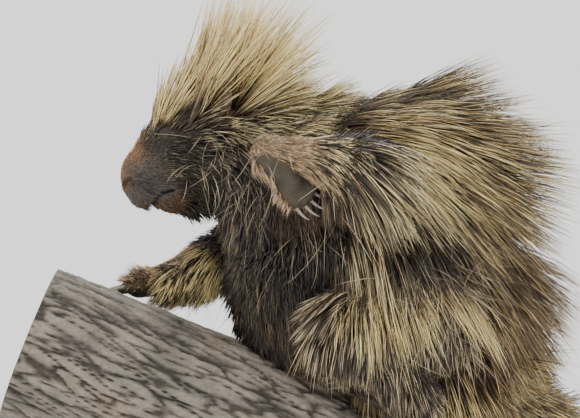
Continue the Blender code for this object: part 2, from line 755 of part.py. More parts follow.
def build():
    clear_scene()
    parts = new_collection("porcupine")
    cutters = new_collection("cutters", hidden=True)
    draw = random.Random(SEED)
    limb = perch(parts)
    flesh = {
        "torso": trunk_flesh("torso", TORSO_BALLS, parts, 6.0, 6, 700),
        "neck": trunk_flesh("neck", NECK_BALLS, parts, 5.0, 5, 360),
        "head": trunk_flesh("head", HEAD_BALLS, parts, 3.0, 4, 1200),
        "tail": bone_flesh("tail", TAIL, parts, triangles=180),
    }
    for name, joints in LEGS.items():
        flesh[name] = bone_flesh(name, joints, parts, triangles=200)
    for name in FEET:
        flesh[name] = foot_flesh(name, parts)
    plain_head = coarsened(copy_of(flesh["head"], "head.plain", cutters), HEAD_CUTTER_TRIANGLES)
    cut_mouth(flesh["head"], cutters)
    for side_name, side in (("left", 1), ("right", -1)):
        flesh["ear_" + side_name] = ear(side_name, side, parts, cutters)
        flesh["eye_" + side_name] = eye_and_lids(flesh["head"], side_name, side, parts, cutters)
        nostril = ball_object("nostril", mirrored(NOSTRIL, side), NOSTRIL_RADII, cutters, rows=4)
        boolean(flesh["head"], [nostril], "DIFFERENCE")
        dropped([nostril])
    keep_largest(flesh["head"])
    order = (
        "torso", "head", "neck", "ear_left", "ear_right", "tail", "foreleg_left", "foreleg_right",
        "hindleg_left", "hindleg_right", "forepaw_left", "forepaw_right", "hindfoot_left",
        "hindfoot_right",
    )
    skin = copy_of(flesh["torso"], "skin", cutters)
    boolean(skin, [obj for name, obj in flesh.items() if not name.startswith(("eye", "torso"))], "UNION")
    skin_tree = tree_of(skin)
    dropped([skin])
    whole = {name: fattened(obj, GAP, cutters) for name, obj in flesh.items()}
    dropped([whole["head"]])
    whole["head"] = fattened(plain_head, HEAD_GAP, cutters)
    skins = {name: fattened(obj, COAT_GAP, cutters) for name, obj in flesh.items()}
    done = [fattened(limb, GAP, cutters)]
    for name in order:
        boolean(flesh[name], done, "DIFFERENCE")
        keep_largest(flesh[name])
        done.append(whole[name])
    dropped(done + [whole["eye_left"], whole["eye_right"], plain_head])
    for name in ("torso", "neck", "head"):
        dropped([skins[name]])
        skins[name] = fattened(flesh[name], COAT_GAP, cutters)
    skins["perch_limb"] = fattened(limb, COAT_GAP, cutters)
    above = []
    for name in COAT_ORDER:
        paths = coat_paths(name, draw, tree_of(flesh[name]), skin_tree)
        coat = joined(name + ".coat", paths, 0.0, cutters)
        others = [obj for key, obj in skins.items() if key != name] + above
        others = [obj for obj in others if boxes_meet(coat, obj)]
        if others:
            boolean(coat, others, "DIFFERENCE")
        above.append(joined(name + ".clearance", paths, LOCK_GAP, cutters))
        boolean(flesh[name], [coat], "UNION")
        dropped([coat])
        keep_largest(flesh[name])
    dropped(above + list(skins.values()))
    for i, inner in enumerate(CLEAR_ORDER):
        for outer in CLEAR_ORDER[:i]:
            relieve(flesh[outer], flesh[inner], cutters)
    stand(limb, parts, cutters)
    for obj in parts.objects:
        coloured(obj)


build()
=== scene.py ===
"""Looks of a life-size porcupine that grips a cut limb, one forepaw raised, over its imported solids.

Places are in millimetres from the seat, the spot on top of the limb under the middle of the body.
The animal faces -X and its left side is towards -Y. Colours are linear.
"""

import math

import bmesh
import bpy
import numpy as np
from mathutils import Matrix, Vector, noise
from mathutils.bvhtree import BVHTree
from mathutils.kdtree import KDTree


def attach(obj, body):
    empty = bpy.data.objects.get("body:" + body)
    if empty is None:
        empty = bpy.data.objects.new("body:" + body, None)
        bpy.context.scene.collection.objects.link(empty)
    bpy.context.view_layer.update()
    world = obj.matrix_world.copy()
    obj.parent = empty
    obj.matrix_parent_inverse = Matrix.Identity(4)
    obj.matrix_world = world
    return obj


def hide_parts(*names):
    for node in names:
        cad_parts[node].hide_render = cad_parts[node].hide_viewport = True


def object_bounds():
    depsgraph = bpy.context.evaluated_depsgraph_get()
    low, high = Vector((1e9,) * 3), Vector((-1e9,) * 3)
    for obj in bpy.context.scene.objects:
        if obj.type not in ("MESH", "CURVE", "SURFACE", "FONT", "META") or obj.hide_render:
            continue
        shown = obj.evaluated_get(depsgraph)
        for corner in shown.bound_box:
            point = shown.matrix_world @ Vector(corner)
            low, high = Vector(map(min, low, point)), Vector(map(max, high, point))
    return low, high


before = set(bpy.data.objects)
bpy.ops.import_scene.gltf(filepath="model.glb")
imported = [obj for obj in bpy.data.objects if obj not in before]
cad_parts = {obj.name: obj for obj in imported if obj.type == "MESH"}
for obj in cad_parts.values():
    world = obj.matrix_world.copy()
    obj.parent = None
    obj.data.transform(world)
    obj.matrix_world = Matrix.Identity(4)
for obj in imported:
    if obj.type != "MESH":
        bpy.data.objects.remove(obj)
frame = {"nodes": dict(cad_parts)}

CAD_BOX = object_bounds()
MM = 0.001
SEAT = np.array((0.0, 0.0, 322.0))

# The photograph's frame, and how far a pixel reaches at the body.
PHOTO_WIDTH = 580
PHOTO_HEIGHT = 418
PIXEL = 0.95
SEAT_PIXEL = (290, 359)
CAMERA_DISTANCE = 3.5
FLOOR_RADIUS = 4.0

# Flesh of the trunk: centre and half sizes along X, Y and Z of each ball.
BALLS = {
    "snout": ((-147, 0, 168), (13, 17, 17)),
    "lip": ((-138, 0, 160), (17, 23, 17)),
    "muzzle": ((-138, 0, 174), (23, 25, 27)),
    "face": ((-122, 0, 184), (28, 31, 37)),
    "jaw": ((-108, 0, 161), (27, 25, 22)),
    "brow": ((-105, 0, 195), (34, 38, 43)),
    "skull": ((-80, 0, 196), (38, 43, 48)),
    "nape": ((-50, 0, 192), (36, 47, 52)),
    "neck": ((-24, 0, 180), (44, 56, 58)),
    "shoulders": ((14, 0, 154), (70, 78, 80)),
    "barrel": ((68, 0, 126), (98, 100, 110)),
    "hips": ((118, 0, 58), (70, 92, 90)),
    "belly": ((30, 0, 78), (82, 80, 82)),
    "tail_root": ((150, 0, -14), (38, 40, 36)),
}
LEGS = {
    "foreleg_left": (((12, -58, 150), 36), ((56, -126, 182), 21), ((-22, -120, 195), 14)),
    "foreleg_right": (((-2, 52, 140), 36), ((-56, 66, 98), 25), ((-116, 40, 74), 16)),
    "hindleg_left": (((122, -62, 48), 50), ((58, -100, 34), 33), ((112, -80, -30), 19)),
    "hindleg_right": (((122, 62, 48), 50), ((58, 100, 34), 33), ((112, 80, -30), 19)),
}
TAIL = (((158, 0, -18), 31), ((200, 0, -46), 26), ((240, 0, -66), 18), ((272, 0, -80), 9))

# Feet: wrist or heel, direction of the toes, direction of the back of the foot, length, width.
FEET = {
    "forepaw_left": ((-22, -124, 188), (0.68, -0.1, -0.72), (-0.3, 0.86, -0.4), 68, 34),
    "forepaw_right": ((-116, 40, 73), (-0.95, -0.18, -0.1), (-0.1, 0.0, 1.0), 60, 36),
    "hindfoot_left": ((118, -76, -44), (-0.92, -0.06, 0.38), (0.36, -0.35, 0.86), 92, 36),
    "hindfoot_right": ((118, 76, -44), (-0.92, 0.06, 0.38), (0.36, 0.35, 0.86), 92, 36),
}
TOES = {"forepaw": 4, "hindfoot": 5}
CLAW_LENGTH = {"forepaw": 19.0, "hindfoot": 17.0}

# Head details.
EYE_CENTRE = (-118.5, -22.5, 213.5)
EYE_RADIUS = 6.0
LID_RADIUS = 8.2
EYE_OUT = (-0.54, -0.72, 0.43)
LID_LINE = (0.62, -0.1, 0.75)
EAR_BASE = (-67, -30, 232)
EAR_TIP = (-63, -44, 262)
EAR_FACING = (-0.75, -0.66, 0.1)
EAR_HALF_WIDTH = 13.0
EAR_WALL = 3.0
NOSTRIL = (-157.5, -8.0, 165)
NOSTRIL_LINE = ((-158, -9.5, 163), (-155, -16, 168), (-150.5, -20.5, 169), (-148, -21.5, 165.5))
MOUTH_LINE = ((-140, 134), (-131, 146), (-125, 154), (-119, 158), (-110, 160))

BODY_LINE = (
    (-128, 0, 205), (-92, 0, 200), (-50, 0, 190), (0, 0, 160), (60, 0, 125),
    (112, 0, 70), (140, 0, 5), (170, 0, -35), (220, 0, -56), (275, 0, -82),
)

# The limb, as in the solids.
LIMB_SLOPE = math.radians(21.5)
LIMB_HALF_WIDTH = 90.0
LIMB_HALF_HEIGHT = 76.0
LIMB_UPHILL = 236.0
LIMB_DOWNHILL = 290.0

SKIN_VOXEL = 2.3
HEAD_END = -42.0
COARSE_TRIANGLES = 16000
PATCH = 0.003
PIECE_TRIANGLES = 190000

# Looks of the coat: root colour, tip colour, where along a hair the tip colour starts, share of
# hairs that stay dark, guard hair width in millimetres, guard hairs and underfur for each square
# centimetre, underfur length in millimetres.
LOOKS = {
    "crest": ((0.075, 0.048, 0.024), (0.72, 0.55, 0.25), 0.18, 0.10, 0.85, 34, 12, 12),
    "nape": ((0.026, 0.018, 0.011), (0.66, 0.53, 0.26), 0.46, 0.30, 0.85, 22, 14, 18),
    "back": ((0.034, 0.020, 0.011), (0.66, 0.49, 0.21), 0.66, 0.45, 0.80, 16, 12, 28),
    "rump": ((0.052, 0.028, 0.014), (0.62, 0.44, 0.20), 0.70, 0.50, 0.80, 15, 12, 32),
    "curtain": ((0.028, 0.018, 0.010), (0.74, 0.57, 0.26), 0.40, 0.22, 0.85, 17, 11, 30),
    # The look with mostly dark hairs is partly dark roots where the coat parts and partly painted shade under the
    # overhanging hair above.
    "parted": ((0.020, 0.013, 0.009), (0.58, 0.47, 0.30), 0.66, 0.74, 0.70, 10, 15, 28),
    "belly": ((0.018, 0.013, 0.010), (0.052, 0.040, 0.030), 0.60, 0.92, 0.75, 9, 16, 28),
    "flank": ((0.022, 0.013, 0.008), (0.190, 0.105, 0.048), 0.55, 0.55, 0.75, 11, 14, 30),
    "cheek": ((0.022, 0.017, 0.012), (0.300, 0.240, 0.160), 0.50, 0.50, 0.60, 16, 18, 12),
    "throat": ((0.017, 0.013, 0.010), (0.120, 0.095, 0.066), 0.55, 0.65, 0.65, 11, 16, 20),
    "brow": ((0.026, 0.020, 0.015), (0.110, 0.082, 0.056), 0.45, 0.35, 0.50, 30, 16, 6),
    "nose": ((0.130, 0.062, 0.024), (0.360, 0.200, 0.090), 0.30, 0.20, 0.40, 54, 0, 3),
    "muzzle": ((0.044, 0.036, 0.030), (0.135, 0.112, 0.092), 0.30, 0.30, 0.38, 54, 0, 3),
    "jaw": ((0.060, 0.030, 0.014), (0.170, 0.090, 0.042), 0.30, 0.30, 0.45, 34, 10, 6),
    "ear": ((0.090, 0.056, 0.037), (0.260, 0.180, 0.120), 0.20, 0.20, 0.40, 40, 0, 4),
    "forearm": ((0.130, 0.078, 0.044), (0.460, 0.320, 0.190), 0.15, 0.12, 0.48, 46, 10, 7),
    "fringe": ((0.026, 0.017, 0.010), (0.72, 0.57, 0.30), 0.38, 0.42, 0.80, 20, 12, 16),
    "elbow": ((0.024, 0.015, 0.010), (0.150, 0.095, 0.052), 0.50, 0.55, 0.60, 18, 18, 18),
    "arm": ((0.024, 0.014, 0.008), (0.100, 0.054, 0.026), 0.40, 0.50, 0.60, 18, 18, 16),
    "armpit": ((0.030, 0.020, 0.012), (0.66, 0.52, 0.25), 0.25, 0.20, 0.75, 24, 14, 20),
    "paw": ((0.050, 0.030, 0.017), (0.400, 0.270, 0.140), 0.20, 0.20, 0.50, 38, 8, 6),
    "foot": ((0.018, 0.013, 0.010), (0.075, 0.054, 0.036), 0.40, 0.40, 0.50, 26, 10, 6),
    "thigh": ((0.022, 0.015, 0.010), (0.60, 0.48, 0.30), 0.60, 0.58, 0.70, 15, 14, 20),
    "tail": ((0.018, 0.012, 0.008), (0.66, 0.50, 0.22), 0.50, 0.45, 0.90, 22, 14, 22),
}

# Lie of the trunk's coat: station and angle on the body line, aim backwards, outwards and down,
# length, droop, look. Angles go round from the upper side, and each is mirrored to the far side.
TRUNK_GUIDES = (
    (0.05, 0, (0.30, 0.95, 0.0), 92, 0.05, "crest"),
    (0.40, 0, (0.24, 0.96, 0.0), 134, 0.08, "crest"),
    (0.40, 32, (0.25, 0.92, 0.0), 112, 0.08, "crest"),
    (1.00, 0, (0.20, 0.97, 0.0), 140, 0.08, "crest"),
    (1.00, 34, (0.26, 0.94, 0.0), 118, 0.10, "crest"),
    (1.60, 0, (0.14, 0.98, 0.0), 132, 0.08, "crest"),
    (1.60, 32, (0.22, 0.95, 0.0), 112, 0.10, "crest"),
    (1.30, 60, (0.60, 0.60, 0.1), 42, 0.15, "nape"),
    (1.95, 0, (0.70, 0.60, 0.0), 62, 0.25, "nape"),
    (2.40, 0, (0.72, 0.60, 0.0), 70, 0.25, "nape"),
    (2.00, 45, (0.74, 0.52, 0.1), 52, 0.30, "nape"),
    (2.50, 50, (0.76, 0.50, 0.2), 60, 0.30, "nape"),
    (2.00, 80, (0.75, 0.45, 0.4), 46, 0.35, "cheek"),
    (2.10, 115, (0.55, 0.35, 0.7), 38, 0.35, "throat"),
    (2.10, 180, (0.40, 0.30, 0.8), 34, 0.30, "throat"),
    (3.00, 0, (0.62, 0.76, 0.0), 98, 0.25, "back"),
    (3.00, 45, (0.62, 0.62, 0.2), 92, 0.35, "back"),
    (3.00, 78, (0.75, 0.40, 0.5), 62, 0.40, "nape"),
    (3.00, 120, (0.40, 0.30, 0.9), 42, 0.30, "belly"),
    (3.00, 180, (0.35, 0.25, 0.8), 40, 0.20, "belly"),
    (3.70, 0, (0.62, 0.76, 0.0), 124, 0.25, "back"),
    (3.70, 45, (0.66, 0.55, 0.3), 106, 0.45, "curtain"),
    (3.70, 78, (0.55, 0.38, 0.7), 96, 0.55, "parted"),
    (3.70, 115, (0.35, 0.30, 0.9), 60, 0.50, "belly"),
    (3.70, 180, (0.40, 0.20, 0.7), 38, 0.20, "belly"),
    (4.30, 0, (0.66, 0.74, 0.0), 130, 0.25, "back"),
    (4.30, 40, (0.66, 0.52, 0.3), 112, 0.45, "back"),
    (4.30, 66, (0.50, 0.40, 0.6), 116, 0.55, "parted"),
    (4.30, 95, (0.26, 0.36, 0.95), 132, 0.50, "curtain"),
    (4.30, 125, (0.30, 0.26, 0.90), 74, 0.40, "flank"),
    (4.30, 180, (0.40, 0.20, 0.60), 36, 0.20, "belly"),
    (4.90, 0, (0.86, 0.56, 0.0), 128, 0.30, "rump"),
    (4.90, 45, (0.80, 0.42, 0.35), 112, 0.45, "rump"),
    (4.90, 72, (0.48, 0.40, 0.75), 128, 0.50, "curtain"),
    (4.90, 100, (0.24, 0.34, 1.00), 134, 0.45, "curtain"),
    (4.90, 135, (0.20, 0.20, 0.95), 40, 0.30, "flank"),
    (5.40, 0, (0.94, 0.40, 0.0), 120, 0.35, "rump"),
    (5.40, 50, (0.85, 0.35, 0.45), 106, 0.45, "rump"),
    (5.40, 85, (0.45, 0.34, 0.9), 112, 0.45, "curtain"),
    (6.20, 0, (1.00, 0.15, 0.0), 104, 0.35, "rump"),
    (6.20, 55, (0.90, 0.16, 0.5), 92, 0.40, "rump"),
    (6.20, 95, (0.60, 0.25, 0.9), 84, 0.40, "curtain"),
    (6.20, 150, (0.70, 0.20, 0.3), 40, 0.20, "foot"),
    (7.30, 0, (0.95, 0.40, 0.0), 62, 0.20, "tail"),
    (7.30, 60, (0.95, 0.34, 0.0), 62, 0.25, "tail"),
    (7.30, 110, (0.95, 0.30, 0.1), 48, 0.20, "tail"),
    (7.30, 180, (1.00, 0.08, 0.0), 16, 0.00, "foot"),
    (8.60, 0, (1.00, 0.22, 0.0), 44, 0.20, "tail"),
    (8.60, 90, (1.00, 0.25, 0.0), 42, 0.20, "tail"),
    (8.60, 180, (1.00, 0.05, 0.0), 14, 0.00, "foot"),
)

# Lie of the face's fur: place, direction, length, droop, look, mirrored to the far side.
FACE_GUIDES = (
    ((-160, 0, 170), (0.1, 0.0, 1.0), 4, 0.0, "nose"),
    ((-157, 0, 184), (0.3, 0.0, 1.0), 5, 0.0, "nose"),
    ((-149, 0, 202), (0.5, 0.0, 0.9), 8, 0.0, "nose"),
    ((-158, -9, 178), (0.3, -0.2, 0.9), 4, 0.0, "nose"),
    ((-151, -11, 196), (0.5, -0.2, 0.8), 6, 0.0, "nose"),
    ((-141, 0, 214), (0.45, 0.0, 1.0), 20, 0.0, "brow"),
    ((-152, -14, 182), (0.5, -0.4, 0.6), 4, 0.0, "muzzle"),
    ((-143, -22, 172), (0.7, -0.3, 0.1), 4.5, 0.0, "muzzle"),
    ((-144, -18, 154), (0.6, -0.4, -0.4), 4.5, 0.0, "muzzle"),
    ((-128, -27, 178), (0.8, -0.3, 0.1), 7, 0.0, "muzzle"),
    ((-128, -20, 200), (0.7, -0.3, 0.4), 7, 0.0, "brow"),
    ((-118, -28, 200), (0.8, -0.3, 0.1), 9, 0.0, "brow"),
    ((-120, -18, 224), (0.5, -0.3, 0.8), 34, 0.0, "crest"),
    ((-104, -30, 222), (0.6, -0.3, 0.6), 26, 0.05, "brow"),
    ((-108, -36, 196), (0.8, -0.3, -0.1), 15, 0.1, "cheek"),
    ((-126, -4, 139), (0.8, 0.0, -0.4), 9, 0.0, "jaw"),
    ((-108, -22, 148), (0.9, -0.2, -0.2), 9, 0.1, "jaw"),
    ((-116, -24, 160), (0.8, -0.3, 0.0), 6, 0.0, "muzzle"),
    ((-96, -32, 162), (0.8, -0.3, -0.4), 20, 0.2, "cheek"),
    ((-92, -41, 186), (0.8, -0.4, -0.3), 24, 0.2, "cheek"),
    ((-88, -10, 142), (0.8, -0.1, -0.5), 22, 0.2, "throat"),
    ((-70, -46, 200), (0.7, -0.4, -0.3), 32, 0.25, "cheek"),
    ((-84, -40, 218), (0.6, -0.4, 0.3), 28, 0.1, "cheek"),
)

# Lie of the legs' coat: station and angle on the leg's own line, aim along it, outwards and down.
LEG_GUIDES = {
    "foreleg_right": (
        (0.40, 0, (0.6, 0.3, 0.5), 30, 0.3, "arm"),
        (0.40, 180, (0.3, 0.3, 0.9), 30, 0.3, "arm"),
        (1.00, 0, (0.6, 0.3, 0.4), 22, 0.2, "arm"),
        (1.00, 180, (0.4, 0.3, 0.7), 22, 0.2, "arm"),
        (1.30, -90, (0.5, 0.5, 0.5), 42, 0.3, "armpit"),
        (1.30, 90, (0.7, 0.3, 0.3), 18, 0.2, "arm"),
        (1.60, 0, (0.8, 0.25, 0.2), 16, 0.2, "paw"),
        (1.60, -90, (0.6, 0.4, 0.6), 30, 0.3, "armpit"),
    ),
    "hindleg_left": (
        (0.50, 60, (0.1, 0.35, 0.9), 60, 0.4, "thigh"),
        (0.50, 150, (0.3, 0.2, 0.8), 34, 0.3, "flank"),
        (1.00, 30, (0.1, 0.35, 0.8), 56, 0.4, "thigh"),
        (1.00, 100, (0.1, 0.35, 0.9), 52, 0.4, "thigh"),
        (1.00, 190, (0.3, 0.3, 0.7), 24, 0.2, "foot"),
        (1.60, 60, (0.4, 0.3, 0.7), 40, 0.3, "thigh"),
        (1.60, 190, (0.5, 0.2, 0.5), 18, 0.2, "foot"),
    ),
}
LEG_GUIDES["hindleg_right"] = tuple(
    (station, -angle, *rest) for station, angle, *rest in LEG_GUIDES["hindleg_left"]
)
RAISED_GUIDES = (
    ((-26, -122, 212), (0.9, 0.0, 0.2), 9, 0.0, "forearm"),
    ((-34, -130, 198), (0.6, -0.4, -0.5), 9, 0.0, "forearm"),
    ((10, -136, 200), (0.9, -0.2, -0.2), 10, 0.1, "forearm"),
    ((10, -122, 210), (0.9, 0.0, 0.2), 12, 0.1, "forearm"),
    ((14, -130, 174), (0.6, -0.2, -0.6), 16, 0.3, "forearm"),
    ((12, -100, 194), (0.8, 0.3, 0.1), 14, 0.1, "elbow"),
    ((38, -144, 190), (0.8, -0.3, -0.5), 30, 0.5, "fringe"),
    ((40, -130, 206), (0.9, -0.1, 0.1), 44, 0.6, "fringe"),
    ((58, -146, 180), (0.75, -0.3, -0.55), 92, 0.8, "fringe"),
    ((76, -130, 186), (0.85, -0.2, -0.3), 84, 0.9, "fringe"),
    ((60, -118, 204), (0.9, -0.1, 0.1), 62, 0.8, "parted"),
    ((62, -140, 164), (0.5, -0.3, -0.85), 84, 0.5, "fringe"),
    ((44, -130, 158), (0.3, -0.3, -0.9), 48, 0.4, "elbow"),
    ((34, -120, 146), (0.25, -0.3, -0.9), 30, 0.4, "elbow"),
    ((50, -96, 142), (0.3, -0.3, -0.9), 36, 0.4, "elbow"),
    ((4, -92, 150), (0.1, -0.3, -0.95), 26, 0.3, "elbow"),
    ((-20, -62, 160), (0.3, -0.4, -0.85), 28, 0.3, "belly"),
    ((20, -80, 186), (0.8, -0.2, 0.1), 50, 0.5, "parted"),
    ((46, -96, 198), (0.9, -0.1, 0.1), 62, 0.7, "parted"),
)
FOOT_HAIR = {"forepaw_left": (15, "forearm"), "forepaw_right": (12, "paw"), "hindfoot_left": (13, "foot"),
             "hindfoot_right": (13, "foot")}

# Bare skin: place, reach and colour.
SPOTS = (
    ((-158, 0, 180), 22, (0.150, 0.074, 0.032)),
    ((-140, -22, 166), 17, (0.062, 0.052, 0.045)),
    ((-140, 22, 166), 17, (0.062, 0.052, 0.045)),
    ((-118, -24, 213), 13, (0.026, 0.020, 0.016)),
    ((-118, 24, 213), 13, (0.026, 0.020, 0.016)),
)
PALM_COLOUR = (0.058, 0.047, 0.030)
EAR_COLOUR = (0.125, 0.078, 0.055)


def metres(points):
    return (np.asarray(points, float) + SEAT) * MM


def unit(vectors):
    return vectors / np.maximum(np.linalg.norm(vectors, axis=-1, keepdims=True), 1e-9)


def applied(obj):
    """Replaces the object's mesh by its evaluated one, and clears its modifiers."""
    bpy.context.view_layer.update()
    mesh = bpy.data.meshes.new_from_object(obj.evaluated_get(bpy.context.evaluated_depsgraph_get()))
    obj.modifiers.clear()
    obj.data = mesh
    return obj


def linked(name, mesh):
    obj = bpy.data.objects.new(name, mesh)
    bpy.context.scene.collection.objects.link(obj)
    return obj


def bm_object(name, bm):
    bmesh.ops.recalc_face_normals(bm, faces=bm.faces)
    mesh = bpy.data.meshes.new(name)
    bm.to_mesh(mesh)
    bm.free()
    return linked(name, mesh)


def coordinates(mesh):
    flat = np.empty(len(mesh.vertices) * 3, np.float64)
    mesh.vertices.foreach_get("co", flat)
    return flat.reshape(-1, 3)


def normals(mesh):
    flat = np.empty(len(mesh.vertices) * 3, np.float32)
    mesh.vertex_normals.foreach_get("vector", flat)
    return flat.reshape(-1, 3).astype(float)


def triangles(mesh):
    mesh.calc_loop_triangles()
    flat = np.empty(len(mesh.loop_triangles) * 3, np.int32)
    mesh.loop_triangles.foreach_get("vertices", flat)
    return flat.reshape(-1, 3)


def set_coordinates(mesh, places):
    mesh.vertices.foreach_set("co", np.ascontiguousarray(places, np.float32).ravel())
    mesh.update()


# Forms of the body, as distances from a point to each form's surface.


def ball_distance(points, centre, radii):
    away = points - np.array(centre, float)
    radii = np.array(radii, float)
    near = np.linalg.norm(away / radii, axis=1)
    steep = np.linalg.norm(away / radii**2, axis=1)
    return near * (near - 1) / np.maximum(steep, 1e-9)


def bone_distance(points, start, start_radius, end, end_radius):
    start = np.array(start, float)
    run = np.array(end, float) - start
    share = np.clip((points - start) @ run / (run @ run), 0, 1)
    away = np.linalg.norm(points - start - share[:, None] * run, axis=1)
    return away - (start_radius + (end_radius - start_radius) * share)


def foot_frame(name):
    heel, ahead, back, length, width = FEET[name]
    ahead = unit(np.array(ahead, float))
    side = unit(np.cross(ahead, back))
    return np.array(heel, float), ahead, side, np.cross(side, ahead), length, width


def foot_bones(name):
    """The sole and the toes of a foot, as bones, and each claw's root and aim."""
    heel, ahead, side, back, length, width = foot_frame(name)
    kind = name.split("_")[0]
    count = TOES[kind]
    toe_radius = width / count * 0.56
    bones = [(heel, width * 0.36, heel + ahead * length * 0.5, width * 0.36)]
    claws = []
    for i in range(count):
        share = (i + 0.5) / count * 2 - 1
        knuckle = heel + ahead * length * 0.46 + side * share * width * 0.36
        reach = length * (0.8 - 0.1 * abs(share))
        toe = heel + ahead * reach + side * share * width * 0.46 - back * width * 0.08
        bones.append((knuckle, toe_radius * 1.15, toe, toe_radius))
        aim = unit(ahead + 0.25 * share * side + 0.2 * back)
        claws.append((toe + back * toe_radius * 0.25, aim, back, CLAW_LENGTH[kind] + toe_radius))
    return bones, claws


def chain(joints):
    return [(a, ra, b, rb) for (a, ra), (b, rb) in zip(joints, joints[1:])]


REGION_NAMES = ["head", "neck", "torso", "tail", *LEGS, *FEET, "ears"]
REGION_BALLS = {
    "head": ("snout", "lip", "muzzle", "face", "jaw", "brow", "skull"),
    "neck": ("nape", "neck"),
    "torso": ("shoulders", "barrel", "hips", "belly", "tail_root"),
}


def regions_of(points):
    """Which form each point lies on, as an index into REGION_NAMES."""
    rows = []
    for name in REGION_NAMES:
        if name in REGION_BALLS:
            found = [ball_distance(points, *BALLS[ball]) for ball in REGION_BALLS[name]]
        elif name == "ears":
            found = [
                bone_distance(points, mirror(EAR_BASE, side), 11, mirror(EAR_TIP, side), 11) - 3
                for side in (1, -1)
            ]
        else:
            bones = chain(TAIL) if name == "tail" else chain(LEGS[name]) if name in LEGS else foot_bones(name)[0]
            found = [bone_distance(points, *bone) for bone in bones]
        rows.append(np.min(found, axis=0))
    return np.argmin(rows, axis=0)


def mirror(place, side):
    return np.array((place[0], place[1] * side, place[2]), float)


# The skin.


def merge_into(bm, own):
    mesh = bpy.data.meshes.new("part")
    own.to_mesh(mesh)
    own.free()
    bm.from_mesh(mesh)
    bpy.data.meshes.remove(mesh)


def ball_verts(bm, centre, radii, rows=18):
    made = bmesh.ops.create_uvsphere(bm, u_segments=2 * rows, v_segments=rows, radius=1.0)
    place = Matrix.Translation(Vector(centre)) @ Matrix.Diagonal((*radii, 1.0))
    bmesh.ops.transform(bm, matrix=place, verts=made["verts"])
    return made["verts"]


def add_ball(bm, centre, radii, rows=18):
    own = bmesh.new()
    ball_verts(own, centre, radii, rows)
    merge_into(bm, own)


def add_bone(bm, start, start_radius, end, end_radius):
    own = bmesh.new()
    verts = ball_verts(own, start, [start_radius] * 3) + ball_verts(own, end, [end_radius] * 3)
    hull = bmesh.ops.convex_hull(own, input=verts)
    spare = [e for e in hull["geom_interior"] + hull["geom_unused"] if isinstance(e, bmesh.types.BMVert)]
    bmesh.ops.delete(own, geom=list(set(spare)), context="VERTS")
    merge_into(bm, own)


def ear_object(side):
    """A rounded cup that opens forwards and outwards."""
    base, tip = Vector(mirror(EAR_BASE, side)), Vector(mirror(EAR_TIP, side))
    axis = (tip - base).normalized()
    facing = Vector(mirror(EAR_FACING, side))
    facing = (facing - axis * facing.dot(axis)).normalized()
    turned = Matrix((axis, axis.cross(facing), facing)).transposed().to_4x4()
    half = (tip - base).length / 2 + 4
    shapes = []
    for push, wall in ((0.0, 0.0), (EAR_WALL + 1.6, EAR_WALL)):
        bm = bmesh.new()
        made = bmesh.ops.create_uvsphere(bm, u_segments=32, v_segments=20, radius=1.0)
        size = Matrix.Diagonal((half - wall, EAR_HALF_WIDTH - wall, 8.0 - wall * 0.4, 1.0))
        place = Matrix.Translation((base + tip) / 2 + facing * push) @ turned @ size
        bmesh.ops.transform(bm, matrix=place, verts=made["verts"])
        shapes.append(bm_object("ear", bm))
    cut = shapes[0].modifiers.new("cup", "BOOLEAN")
    cut.operation = "DIFFERENCE"
    cut.solver = "MANIFOLD"
    cut.object = shapes[1]
    applied(shapes[0])
    bpy.data.objects.remove(shapes[1])
    return shapes[0]


def make_skin():
    """One closed skin over head, trunk, legs and feet, in millimetres from the seat."""
    bm = bmesh.new()
    for centre, radii in BALLS.values():
        add_ball(bm, centre, radii, 24)
    for side in (1, -1):
        add_ball(bm, mirror(EYE_CENTRE, side), [LID_RADIUS] * 3)
        ear = ear_object(side)
        bm.from_mesh(ear.data)
        bpy.data.objects.remove(ear)
    for joints in (*LEGS.values(), TAIL):
        for bone in chain(joints):
            add_bone(bm, *bone)
    for name in FEET:
        for bone in foot_bones(name)[0]:
            add_bone(bm, *bone)
    skin = bm_object("skin", bm)
    melt = skin.modifiers.new("melt", "REMESH")
    melt.mode = "VOXEL"
    melt.voxel_size = SKIN_VOXEL
    smooth = skin.modifiers.new("round off", "SMOOTH")
    smooth.factor = 0.5
    smooth.iterations = 4
    applied(skin)
    bm = bmesh.new()
    bm.from_mesh(skin.data)
    for reach in (0, 1):
        edges = [e for e in bm.edges if fine_detail((e.verts[0].co + e.verts[1].co) / 2, reach)]
        bmesh.ops.subdivide_edges(bm, edges=edges, cuts=1, use_grid_fill=True)
        near = [v for v in bm.verts if fine_detail(v.co, reach)]
        for _ in range(2):
            bmesh.ops.smooth_vert(bm, verts=near, factor=0.5, use_axis_x=True, use_axis_y=True, use_axis_z=True)
    bm.to_mesh(skin.data)
    bm.free()
    return skin


def fine_detail(place, reach):
    """Whether this spot is on the head (reach 0) or beside its eyes, nose or mouth (reach 1)."""
    if place.x > HEAD_END or place.z < 125:
        return False
    if reach == 0:
        return place.x < -80 or place.z > 225
    beside = Vector((place.x, -abs(place.y), place.z))
    if (beside - Vector(EYE_CENTRE)).length < 14 or (beside - Vector(NOSTRIL)).length < 11:
        return True
    return place.x < -104 and place.z < 168 and place.z > 128


def line_distance(points, line):
    """Distance from points to a polyline, both flat."""
    best = np.full(len(points), 1e9)
    for a, b in zip(line, line[1:]):
        a, b = np.array(a, float), np.array(b, float)
        run = b - a
        share = np.clip((points - a) @ run / (run @ run), 0, 1)
        best = np.minimum(best, np.linalg.norm(points - a - share[:, None] * run, axis=1))
    return best


def bump(distance, width):
    return np.exp(-((distance / width) ** 2))


def lid_frame(side):
    """Where the lids meet: the line between them, the way across it and the way out."""
    facing = unit(mirror(EYE_OUT, side))
    line = mirror(LID_LINE, side)
    line = unit(line - facing * (line @ facing))
    return line, np.cross(facing, line) * -side, facing


